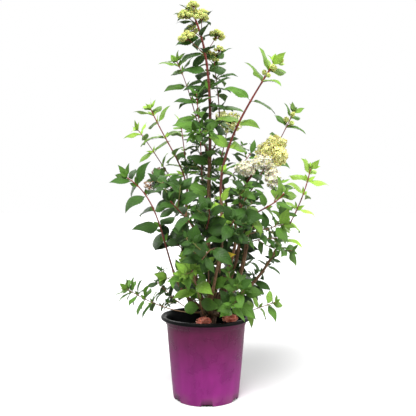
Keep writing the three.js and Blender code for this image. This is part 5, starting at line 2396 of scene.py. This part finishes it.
@dataclass
class Wood:
    """The trunk and the old canes, in thin bark with ridges, scars and swollen nodes."""

    crown: Crown
    finishes: Materials
    cane_sides: int = 14
    ring_every: float = 5.0
    node_every: float = 46.0
    sunk: float = 9.0
    trunk_sides: int = 44
    foot_flare: float = 1.35
    flare: Pair = (0.28, 10)
    node_shift: float = 12
    node_swell: Pair = (0.16, 3.2)
    drawn_in: float = 0.97

    def _relief(self, seed: int, ridges: int, depth: float) -> Callable[[np.ndarray, float], np.ndarray]:
        """Gives the relief of one limb's bark: ridges that wander, and a fine roughness.

        Args:
            seed: The limb's seed.
            ridges: The number of ridges round it.
            depth: Their depth as a share of its radius.

        Returns:
            The relief for the angles round a ring at a length from the foot.
        """
        random = np.random.default_rng(seed)
        phases = random.uniform(0, ANY_PHASE, 6)
        swing = random.uniform(0.02, 0.05, 3)

        def relief(angles: np.ndarray, reach: float) -> np.ndarray:
            """Gives the share to add to the radius.

            Args:
                angles: The angles round the limb.
                reach: How far along the limb the ring is.

            Returns:
                The share at each angle.
            """
            ridge = np.sin(ridges * angles + phases[0] + 1.5 * sin(reach * swing[0] + phases[1]))
            second = np.sin((ridges + 3) * angles + phases[2] - 1.2 * sin(reach * swing[1] + phases[3]))
            knot = sin(reach * 0.21 + phases[4]) * np.sin(2 * angles + phases[5] + reach * 0.05)
            return depth * (0.55 * ridge + 0.45 * second) + 0.5 * depth * knot

        return relief

    def _cane(self, pile: MeshPile, cane: Cane, number: int) -> None:
        """Adds one cane, flared into the knuckle at its foot.

        Args:
            pile: What it is added to.
            cane: The cane.
            number: Its number, which shifts its nodes.
        """
        limb = self.crown.limbs[cane.name]
        count = max(12, round(limb.length / self.ring_every))
        rings = [limb.at(0).ring(cane.radii[0] * self.foot_flare, self.sunk)]
        for i in range(count + 1):
            share = i / count
            reach = share * limb.length
            radius = cane.radii[0] + (cane.radii[1] - cane.radii[0]) * share
            flare = self.flare[0] * exp(-reach / self.flare[1])
            to_node = (reach + self.node_shift * number) % self.node_every - self.node_every / 2
            swell = self.node_swell[0] * exp(-((to_node / self.node_swell[1]) ** 2))
            rings.append(limb.at(share).ring(radius * (self.drawn_in + flare + swell)))
        corners, faces, places = tube_mesh(rings, self.cane_sides, self._relief(number, 3, 0.055))
        pile.add(corners, faces, places, along_share(places), 0)

    def _trunk(self, pile: MeshPile) -> None:
        """Adds the short trunk: a flare on the mix, a neck, and the lumpy knuckle.

        Args:
            pile: What it is added to.
        """
        x, y, top = KNUCKLE.centre
        flare, neck, foot = KNUCKLE.flare_radius, KNUCKLE.neck_radius, KNUCKLE.foot
        profile = [
            (foot, flare), (foot + 2.5, 0.9 * flare), (foot + 6, (flare + neck) / 2),
            (foot + 12, 1.06 * neck), (KNUCKLE.neck_height, neck),
        ]
        for climb in range(-36, 90, 9):
            angle = radians(climb)
            profile.append((top + KNUCKLE.radius * sin(angle), KNUCKLE.radius * cos(angle)))
        rings = []
        for height, radius in profile:
            down = max(0.0, (top - height) / (top - foot))
            middle = Vector((x + KNUCKLE.lean[0] * down, y + KNUCKLE.lean[1] * down, height))
            rings.append(Ring(middle, ACROSS, AHEAD, radius))
        pile.add(*tube_mesh(rings, self.trunk_sides, self._relief(77, 7, 0.05)), 0.0, 1)

    def build(self) -> None:
        """Builds the trunk and all the canes as one piece."""
        pile = MeshPile()
        self._trunk(pile)
        for number, cane in enumerate(CANES, 1):
            self._cane(pile, cane, number)
        piece = pile.build("bark", [self.finishes["cane_bark"], self.finishes["knuckle_bark"]])
        settle(piece, "bark", "trunk", *(cane.name for cane in CANES))


@dataclass(frozen=True)
class Spread:
    """How copies are strewn: spacing in metres, most per square metre, seed, sizes, tilt and finish."""

    spacing: float
    density: float
    seed: int
    smallest: float
    largest: float
    tilt: float
    finish: Material | None = None


class ScatterTree:
    """A Geometry Nodes tree that scatters turned copies of one small mesh over a surface."""

    SOCKETS = {
        "geometry": "Geometry", "copy": "Object", "spacing": "Float", "density": "Float", "seed": "Int",
        "smallest": "Float", "largest": "Float", "tilt": "Float", "finish": "Material",
    }

    def __init__(self) -> None:
        """Builds the tree with its named inputs."""
        self.tree = bpy.data.node_groups.new("scatter", "GeometryNodeTree")
        face = self.tree.interface
        self.identifiers = {
            name: face.new_socket(name, in_out="INPUT", socket_type="NodeSocket" + kind).identifier
            for name, kind in self.SOCKETS.items()
        }
        face.new_socket("geometry", in_out="OUTPUT", socket_type="NodeSocketGeometry")
        self._wire()

    def _wire(self) -> None:
        """Places and joins the nodes."""
        build = Shader(self.tree)
        given = build.node("NodeGroupInput").outputs
        inputs = {
            "Mesh": given["geometry"], "Distance Min": given["spacing"], "Density Max": given["density"],
            "Seed": given["seed"],
        }
        points = build.node("GeometryNodeDistributePointsOnFaces", inputs, distribute_method="POISSON")
        tilt = given["tilt"]
        back = build.math("MULTIPLY", tilt, -1.0)
        low = build.out("ShaderNodeCombineXYZ", {0: back, 1: back, 2: 0.0})
        high = build.out("ShaderNodeCombineXYZ", {0: tilt, 1: tilt, 2: FULL_TURN})
        inputs = {0: low, 1: high, "Seed": given["seed"]}
        turn = build.out("FunctionNodeRandomValue", inputs, data_type="FLOAT_VECTOR")
        inputs = {0: points.outputs["Rotation"], 1: turn}
        turned_round = build.out("FunctionNodeRotateRotation", inputs, rotation_space="LOCAL")
        inputs = {2: given["smallest"], 3: given["largest"], "Seed": given["seed"]}
        size = build.node("FunctionNodeRandomValue", inputs, data_type="FLOAT").outputs[1]
        copy = build.node("GeometryNodeObjectInfo", {"Object": given["copy"]}).outputs["Geometry"]
        inputs = {0: points.outputs["Points"], "Instance": copy, "Rotation": turned_round, "Scale": size}
        copies = build.out("GeometryNodeInstanceOnPoints", inputs)
        real = build.out("GeometryNodeRealizeInstances", {0: copies})
        dressed = build.out("GeometryNodeSetMaterial", {0: real, "Material": given["finish"]})
        build.node("NodeGroupOutput", {0: dressed})

    def run(self, surface: Faceted, copy: Object, spread: Spread) -> Object:
        """Scatters copies over a surface.

        Args:
            surface: The surface's corners, in millimetres, and faces.
            copy: The small mesh.
            spread: How the copies are strewn.

        Returns:
            A plain mesh object of all the copies.
        """
        mesh = bpy.data.meshes.new("scattered")
        mesh.from_pydata([tuple(corner * MM) for corner in surface[0]], [], surface[1])
        carrier = placed("scattered", mesh)
        modifier = carrier.modifiers.new("scatter", "NODES")
        modifier.node_group = self.tree
        modifier[self.identifiers["copy"]] = copy
        for name, value in vars(spread).items():
            modifier[self.identifiers[name]] = value
        return baked(carrier)


class Bloom(Enum):
    """What is strewn over the heads, with the names of the small copies."""

    OPEN = "floret_open"
    CUPPED = "floret_cupped"
    BUD = "bud_round"


@dataclass
class Blossom:
    """The florets and buds: the open panicle, the closed clusters, and the spent and fallen heads."""

    crown: Crown
    finishes: Materials
    scatter: ScatterTree
    sepal_length: float = 6.2
    sepal_width: float = 6.0
    sepal_grid: tuple[float, ...] = (0.0, 0.35, 0.7, 1.0)
    sepal_foot: float = 0.18
    sepal_spread: Pair = (0.16, 0.74)
    inner_scale: float = 0.86
    outer_turn: float = 0.12
    outer_rise: float = 0.25
    rim_drop: float = 0.06
    cupping: float = 0.5
    sunk: float = 0.3
    curls: Pair = (0.1, 0.42)
    bud: float = 1.35
    heart: float = 0.62
    head: float = 1.25
    head_height: float = 0.72
    ball: float = 0.27
    ball_turn: float = 0.5
    ball_reach: Pair = (0.9, 0.25)
    ball_lift: float = 0.5
    ball_size: Pair = (0.8, 0.45)
    ball_height: float = 0.85
    balls: tuple[tuple[int, float, float], ...] = ((7, 0.78, 0.0), (4, 0.42, 0.6), (1, 0.0, 1.0))
    fallen: Triple = (16, 10.5, 7)
    fallen_core: Triple = (12.5, 7.5, 4.8)
    layers: tuple[tuple[float, Bloom, float, float], ...] = (
        (0.94, Bloom.OPEN, 0.0062, 0.34), (0.84, Bloom.CUPPED, 0.0064, 0.4), (0.66, Bloom.BUD, 0.0026, 0.3),
    )
    mostly_cream: float = 0.4
    mixed: Pair = (0.1, 0.9)
    crowding: float = 1.4
    floret_sizes: Pair = (0.72, 1.12)
    panicle_seed: int = 40
    lobe_seeds: int = 7
    mixed_in: Spread = Spread(0.014, 5000.0, 90, 0.72, 1.12, 0.34)
    bud_spread: Spread = Spread(0.002, 320000.0, 200, 0.7, 1.15, 0.35)
    old_spread: Spread = Spread(0.006, 40000.0, 200, 0.7, 1.0, 0.4)
    fallen_spread: Spread = Spread(0.0045, 90000.0, 300, 0.8, 1.1, 0.5)
    copies: dict[Bloom, Object] = field(default_factory=dict)

    # The back head's florets take the paler lime copy, which is partly painted light.
    OLD_HEADS = {
        "back_bloom": ("cream_florets", "petal_pale_lime_painted_light"),
        "spent_panicle": ("spent_florets", "petal_spent"),
    }

    def _floret(self, kind: Bloom, curl: float) -> Object:
        """Makes one four-petalled floret round a bead, facing +Z.

        Args:
            kind: Which floret it is.
            curl: How far the petals' rims rise, as a share of their length.

        Returns:
            The floret, in the scene until the blossom is done.
        """
        pile = MeshPile()
        first, step = self.sepal_spread
        for number in range(4):
            outer = number % 2
            angle = number * pi / 2 + self.outer_turn * outer
            scale = 1.0 if outer else self.inner_scale
            corners, places = [], []
            for share in self.sepal_grid:
                wide = sin(pi * min(1.0, first + step * share)) if share else self.sepal_foot
                for side in (-1, 0, 1):
                    out = self.sepal_length * scale * share * (1 - self.rim_drop * abs(side))
                    aside = self.sepal_width * 0.5 * wide * side * scale
                    rise = curl * self.sepal_length * share**2 + self.cupping * abs(side) * share - self.sunk
                    x = out * cos(angle) - aside * sin(angle)
                    y = out * sin(angle) + aside * cos(angle)
                    corners.append((x, y, rise + self.outer_rise * outer))
                    places.append((share, (side + 1) / 2))
            faces = []
            for row in range(len(self.sepal_grid) - 1):
                for a in (3 * row, 3 * row + 1):
                    faces += [(a, a + 3, a + 4), (a, a + 4, a + 1)]
            pile.add(corners, faces, np.array(places))
        pile.add(*ellipsoid(Vector((0, 0, 0.5)), (1.0, 1.0, 1.0), 1))
        return pile.build(kind.value, [])

    def _head_surface(self, knob: Knob) -> Faceted:
        """Gives the rounded surface that the florets of an old head stand on.

        Args:
            knob: The head's place, facing and size.

        Returns:
            The corners and faces.
        """
        radius = self.head * BUD.radius * knob.scale
        turn = UP.rotation_difference(knob.facing).to_matrix()
        radii = (radius, radius, self.head_height * radius)
        corners, faces = lumpy_ball(Vector(), radii, 3, round(knob.centre.z))
        return [turn @ corner + knob.centre for corner in corners], faces

    def _ball_surface(self, knob: Knob, seed: int) -> Faceted:
        """Gives the small balls of buds that make up a knob as one surface, each ball on its own rib.

        Args:
            knob: The knob.
            seed: The seed of the chances.

        Returns:
            The corners and faces.
        """
        random = Stream(seed)
        turn = UP.rotation_difference(knob.facing).to_matrix()
        radius, height = BUD.radius * knob.scale, BUD.height * knob.scale
        (nearest, farther), (least, more) = self.ball_reach, self.ball_size
        corners: list[Vector] = []
        faces: Faces = []
        for count, out, rise in self.balls:
            for number in range(count):
                angle = FULL_TURN * (number + self.ball_turn * random.share()) / count + out
                reach = radius * out * (nearest + farther * random.share())
                lift = height * (rise + self.ball_lift * random.sway())
                middle = turn @ Vector((reach * cos(angle), reach * sin(angle), lift)) + knob.centre
                size = self.ball * radius * (least + more * random.share())
                ball = lumpy_ball(middle, (size, size, self.ball_height * size), 2, number + seed)
                faces += [tuple(index + len(corners) for index in face) for face in ball[1]]
                corners += ball[0]
        return corners, faces

    def _core(self, surface: Faceted, outward: float, finish: str) -> Object:
        """Makes the plain core that closes the gaps between florets or buds.

        Args:
            surface: Its corners and faces.
            outward: The pattern place that picks its colour.
            finish: The name of its finish.

        Returns:
            The core.
        """
        pile = MeshPile()
        pile.add(*surface, outward)
        return pile.build("core", [self.finishes[finish]])

    def _strewn(self, surface: Faceted, kind: Bloom, spread: Spread, number: int, finish: str) -> Object:
        """Strews florets or buds over a surface.

        Args:
            surface: Its corners and faces.
            kind: What is strewn.
            spread: How it is strewn.
            number: What is added to the spread's seed.
            finish: The name of its finish.

        Returns:
            The florets or buds.
        """
        spread = replace(spread, seed=spread.seed + number, finish=self.finishes[finish])
        return self.scatter.run(surface, self.copies[kind], spread)

    def _balls(self, surface: Faceted, number: int) -> list[Object]:
        """Covers small balls with buds, over a core that closes the gaps between them."""
        buds = self._strewn(surface, Bloom.BUD, self.bud_spread, number, "bud_yellow_green")
        return [buds, self._core(surface, 0.2, "bud_green")]

    @staticmethod
    def _shell(lobe: Lobe, size: float, subdivisions: int = 4) -> Faceted:
        """Gives the lumpy surface of a lobe of the panicle at a share of its size."""
        radii = tuple(radius * size for radius in lobe.radii)
        return lumpy_ball(Vector(lobe.at), radii, subdivisions, LOBES.index(lobe) + 1)

    def build(self) -> None:
        """Builds the blossom pieces, from small copies that go at the end."""
        bead = ellipsoid(Vector((0, 0, 0.3 * self.bud)), (self.bud, self.bud, 1.15 * self.bud), 1)
        pile = MeshPile()
        pile.add(*bead, 0.9)
        for kind, curl in zip((Bloom.OPEN, Bloom.CUPPED), self.curls):
            self.copies[kind] = self._floret(kind, curl)
        self.copies[Bloom.BUD] = pile.build(Bloom.BUD.value, [])
        self._panicle()
        self._clusters()
        discard(*self.copies.values())

    def _panicle(self) -> None:
        """Covers each lobe of the open panicle with florets, in layers round a heart of buds."""
        pieces = []
        for number, lobe in enumerate(LOBES):
            own, other = "petal_lime", "petal_cream"
            if lobe.cream > self.mostly_cream:
                own, other = other, own
            for layer, (size, kind, spacing, tilt) in enumerate(self.layers):
                seed = self.panicle_seed + self.lobe_seeds * number
                spread = Spread(spacing, self.crowding / spacing**2, seed, *self.floret_sizes, tilt)
                pieces.append(self._strewn(self._shell(lobe, size), kind, spread, layer, own))
                if layer == 0 and self.mixed[0] < lobe.cream < self.mixed[1]:
                    pieces.append(self._strewn(self._shell(lobe, 1), kind, self.mixed_in, number, other))
            pieces.append(self._core(self._shell(lobe, self.heart, 3), 0.6, own))
        settle(joined("panicle", pieces), "foliage")

    def _clusters(self) -> None:
        """Covers the knobs: closed buds on most, pale or withered florets on the two old heads."""
        pieces: dict[str, list[Object]] = {"bud_clusters": [], "cream_florets": [], "spent_florets": []}
        number = 0
        for mass in self.crown.masses:
            name, finish = self.OLD_HEADS.get(mass.shoot.name, ("bud_clusters", ""))
            for knob in mass.knobs:
                number += 1
                if finish:
                    surface = self._head_surface(knob)
                    pieces[name].append(self._strewn(surface, Bloom.OPEN, self.old_spread, number, finish))
                else:
                    pieces[name] += self._balls(self._ball_surface(knob, number), number)
            for knob in mass.sprigs:
                number += 1
                ball = lumpy_ball(knob.centre, (BUD.radius * knob.scale,) * 3, 2, number)
                pieces["bud_clusters"] += self._balls(ball, number)
        for place in map(Vector, FALLEN_AT):
            surface = ellipsoid(place, self.fallen, 3)
            head = self._strewn(surface, Bloom.CUPPED, self.fallen_spread, 0, "petal_fallen")
            core = self._core(ellipsoid(place, self.fallen_core, 3), 0.9, "petal_fallen")
            pieces["spent_florets"] += [head, core]
        for name, members in pieces.items():
            settle(joined(name, members), "foliage")


class Moulding(IntEnum):
    """The two plastics of the pot, numbered as the finishes on its piece."""

    WALL = 0
    RIM = 1


@dataclass
class NurseryPot:
    """The thin moulded pot: a tapered wall, a collar, a rolled lip, and drain notches at its foot."""

    finishes: Materials
    height: float = 210
    foot_radius: float = 85
    foot_bend: float = 1.6
    shoulder_radius: float = 102
    shoulder_height: float = 188
    bulge: float = 0.35
    collar_radius: float = 104.5
    lip_radius: float = 117
    lip_drop: float = 8.5
    lip_flat: float = 0.72
    wall: float = 2
    floor: float = 3
    sides: int = 144
    notches: int = 6
    notch_width: float = 30
    notch_height: float = 6
    notch_depth: float = 18
    notch_turn: float = 1.5

    def _profile(self) -> list[tuple[float, float, int]]:
        """Gives the wall's profile as radius, height and finish, from the foot's middle to the floor.

        Returns:
            The radius, height and finish of each point.
        """
        foot, shoulder, collar = self.foot_radius, self.shoulder_radius, self.collar_radius
        bend, knee, top = self.foot_bend, self.shoulder_height, self.height
        lip_foot = top - self.lip_drop
        outside = [(0.0, 0.0), (foot - 2.5, 0.0)]
        for climb in (0, 30, 60, 90):
            angle = radians(climb)
            outside.append((foot - bend + bend * sin(angle), bend - bend * cos(angle)))
        for share in (0.12, 0.3, 0.5, 0.7, 0.9, 0.97):
            bulge = self.bulge * sin(pi * share)
            outside.append((foot + (shoulder - foot) * share + bulge, share * knee))
        outside += [
            (shoulder, knee - 1), (shoulder + 0.6, knee + 0.4), (collar - 0.5, knee + 1.6),
            (collar, knee + 3), (collar, lip_foot - 0.8),
        ]
        rim = [(collar + 1.2, lip_foot)]
        roll = self.lip_drop / 2
        flat = roll * self.lip_flat
        for climb in range(-75, 91, 15):
            angle = radians(climb)
            rim.append((self.lip_radius - flat + flat * cos(angle), lip_foot + roll + roll * sin(angle)))
        inner = collar - self.wall
        floor = foot - self.wall + (shoulder - foot) * 0.02
        rim += [
            (collar + 5, top - 0.2), (collar + 2.4, top - 1.2), (inner + 1.4, top - 4), (inner, lip_foot),
            (shoulder - self.wall, knee), (floor, self.floor + 1), (floor - 2, self.floor),
            (0.0, self.floor),
        ]
        return [(*point, Moulding.WALL) for point in outside] + [(*point, Moulding.RIM) for point in rim]

    def build(self) -> None:
        """Turns the profile, cuts the notches and builds the pot."""
        skins = [self.finishes["pot_magenta"], self.finishes["pot_black"]]
        piece = turned("pot_shell", self._profile(), self.sides, skins)
        cutter = self._notch_cutter()
        cut = piece.modifiers.new("notches", "BOOLEAN")
        cut.object = cutter
        cut.operation = "DIFFERENCE"
        cut.solver = "EXACT"
        baked(piece)
        discard(cutter)
        settle(piece, "pot", "pot")

    def _notch_cutter(self) -> Object:
        """Makes the blocks that the notches are cut with, with rounded tops.

        Returns:
            The blocks, as one object.
        """
        outline = [(-1.0, -1.0), (1.0, -1.0)]
        for step in range(7):
            angle = pi * step / 6
            outline.append((cos(angle) * 0.98, 0.45 + 0.55 * sin(angle)))
        blocks = bmesh.new()
        for number in range(self.notches):
            turn = radians(self.notch_turn - 90) + FULL_TURN * number / self.notches
            out, side = Vector((cos(turn), sin(turn), 0)), Vector((-sin(turn), cos(turn), 0))
            ends = []
            for reach in (self.foot_radius - self.notch_depth, self.foot_radius + 4):
                ring = []
                for aside, rise in outline:
                    point = out * reach + side * (aside * self.notch_width / 2)
                    point.z = rise * self.notch_height
                    ring.append(blocks.verts.new(point * MM))
                ends.append(ring)
            inner, outer = ends
            for j in range(len(outline)):
                k = (j + 1) % len(outline)
                blocks.faces.new((inner[j], inner[k], outer[k], outer[j]))
            blocks.faces.new(reversed(inner))
            blocks.faces.new(outer)
        bmesh.ops.recalc_face_normals(blocks, faces=blocks.faces)
        cutter = piece_of("notch_cutter", blocks, [])
        cutter.hide_render = True
        return cutter


@dataclass
class PottingMix:
    """The potting mix: an uneven bed with loose bark chips on it."""

    finishes: Materials
    scatter: ScatterTree
    top: float = 170
    clearance: float = 0.3
    sides: int = 48
    rows: int = 18
    hollow: float = 2.4
    lump_seed: int = 9
    chip_seed: int = 5
    chip_radii: Triple = (6.0, 2.6, 1.3)
    chip_lift: float = 0.6
    chip_lumps: Pair = (0.72, 1.2)
    chip_spread: Spread = Spread(0.0042, 60000.0, 12, 0.5, 1.25, 0.45)
    chips_below: float = 1.5
    chips_from_edge: float = 6

    def _chip(self) -> Object:
        """Makes one split chip of bark, lying flat.

        Returns:
            The chip.
        """
        random = np.random.default_rng(self.chip_seed)
        corners, faces = ellipsoid(Vector((0, 0, self.chip_lift)), self.chip_radii, 2)
        shaped = np.array(corners) * random.uniform(*self.chip_lumps, (len(corners), 1))
        pile = MeshPile()
        pile.add(shaped, faces)
        return pile.build("chip", [], smooth=False)

    def build(self) -> None:
        """Builds the bed and its chips."""
        pot = NurseryPot(self.finishes)
        rise = (pot.shoulder_radius - pot.foot_radius) / pot.shoulder_height

        def radius_at(height: float) -> float:
            """Gives the bed's radius at a height in the pot."""
            return pot.foot_radius + rise * height - pot.wall - self.clearance

        mix = self.finishes["bark_mix"]
        foot, edge = pot.floor + self.clearance, radius_at(self.top)
        profile = [(0.0, foot, 0), (radius_at(foot), foot, 0), (radius_at(self.top - 4), self.top - 4, 0)]
        profile += [(edge * (1 - row / self.rows), self.top, 0) for row in range(self.rows)]
        profile.append((0.0, self.top - 1, 0))
        lumps = np.zeros((len(profile), self.sides))
        random = np.random.default_rng(self.lump_seed)
        lumps[3:-1] = random.uniform(-self.hollow, 0.0, (self.rows, self.sides))
        settle(turned("mix_bed", profile, self.sides, [mix], lumps), "potting_mix", "potting_mix")

        chip = self._chip()
        level = self.top - self.chips_below
        reach = edge - self.chips_from_edge
        corners = [Vector((0, 0, level))]
        corners += [Vector((*around(reach, side, self.sides), level)) for side in range(self.sides)]
        faces = [(0, 1 + j, 1 + (j + 1) % self.sides) for j in range(self.sides)]
        chips = self.scatter.run((corners, faces), chip, replace(self.chip_spread, finish=mix))
        chips.name = chips.data.name = "bark_chips"
        settle(chips, "potting_mix")
        discard(chip)


@dataclass
class Studio:
    """The floor, the light and the camera at the photograph's angle."""

    frame_pixels: float = 416
    focal_pixels: float = 530
    distance: float = 1383
    camera_height: float = 488
    camera_aside: float = 5.2
    floor_reach: float = 40.0
    floor_bounce: Colour = (0.36, 0.36, 0.36, 1.0)
    floor_greys: tuple[Colour, Colour] = ((0.86, 0.86, 0.86, 1.0), (0.9, 0.9, 0.9, 1.0))
    suns: tuple[tuple[str, float, Triple, float], ...] = (
        ("key_light", 4.2, (37, 0, -20), 36), ("fill_light", 2.2, (68, 0, 70), 60),
    )
    sky_ramp: tuple[float, ...] = (-0.5, 0.7, 0.1, 0.75)
    mirrored_ramp: tuple[float, ...] = (-0.3, 0.8, 0.12, 2.6)

    def build(self) -> None:
        """Builds the floor, the world, two soft suns and the camera."""
        self._floor()
        self._world()
        for sun in self.suns:
            self._sun(*sun)
        self._camera()

    def _floor(self) -> None:
        """Lays a plain pale floor, which throws less light back up at the plant than the camera sees."""
        surface = Surface("pale_floor", Roughness=0.9)
        pale = surface.mix(surface.noise(surface.place(), 3.0), *self.floor_greys)
        seen = surface.node("ShaderNodeLightPath").outputs["Is Camera Ray"]
        surface.paint(surface.mix(seen, self.floor_bounce, pale))
        mesh = bpy.data.meshes.new("floor")
        reach = self.floor_reach
        corners = [(-reach, -reach, 0), (reach, -reach, 0), (reach, reach, 0), (-reach, reach, 0)]
        mesh.from_pydata(corners, [], [(0, 1, 2, 3)])
        mesh.materials.append(surface.material)
        link(bpy.data.objects.new("floor", mesh))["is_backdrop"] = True

    def _world(self) -> None:
        """Lights the scene from a white surround, which is brighter behind the plant than in front of it."""
        world = bpy.data.worlds.new("surround")
        world.use_nodes = True
        world.node_tree.nodes.clear()
        shader = Shader(world.node_tree)
        rays = shader.node("ShaderNodeLightPath").outputs
        behind = shader.part(shader.node("ShaderNodeTexCoord").outputs["Generated"], 1)
        sky = shader.ramp(behind, *self.sky_ramp)
        gloss = shader.ramp(behind, *self.mirrored_ramp)
        mirrored = shader.math("MULTIPLY", rays["Is Glossy Ray"], gloss)
        strength = shader.math("MAXIMUM", rays["Is Camera Ray"], shader.math("MAXIMUM", mirrored, sky))
        light = shader.out("ShaderNodeBackground", {"Color": (1, 1, 1, 1), "Strength": strength})
        shader.node("ShaderNodeOutputWorld", {"Surface": light})
        bpy.context.scene.world = world
        bpy.context.scene.view_settings.view_transform = "Standard"

    @staticmethod
    def _sun(name: str, strength: float, angles: Triple, softness: float) -> None:
        """Hangs a soft sun.

        Args:
            name: Its name.
            strength: Its strength.
            angles: Its turns about X, Y and Z in degrees.
            softness: The angle it fills in degrees.
        """
        sun = bpy.data.lights.new(name, "SUN")
        sun.energy = strength
        sun.angle = radians(softness)
        placed(name, sun).rotation_euler = [radians(angle) for angle in angles]

    def _camera(self) -> None:
        """Sets the level camera in front of the plant."""
        camera = bpy.data.cameras.new("camera")
        camera.sensor_width = 36
        camera.lens = self.focal_pixels / self.frame_pixels * camera.sensor_width
        camera.clip_end = 200
        holder = placed("camera", camera)
        holder.location = (self.camera_aside * MM, -self.distance * MM, self.camera_height * MM)
        holder.rotation_euler = (QUARTER_TURN, 0, 0)
        bpy.context.scene.camera = holder


def write_sizes() -> None:
    """Gathers the model's box and the dressed box, in metres, into a table that is not kept."""
    boxes = {"cad": CAD_BOX, "visual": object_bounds()}
    {name: [list(corner) for corner in box] for name, box in boxes.items()}


def main() -> None:
    """Builds the studio and every piece of the potted plant, and reports each one."""
    logging.basicConfig(level=logging.INFO, format="%(name)s: %(message)s")
    Studio().build()
    effects = Effects()
    finishes = {finish.name: finish.material(effects) for finish in FINISHES}
    crown = Crown()
    crown.grow()
    scatter = ScatterTree()
    NurseryPot(finishes).build()
    PottingMix(finishes, scatter).build()
    Wood(crown, finishes).build()
    Stems(crown, finishes).build()
    Foliage(crown, finishes).build()
    Blossom(crown, finishes, scatter).build()
    write_sizes()


if __name__ == "__main__":
    main()
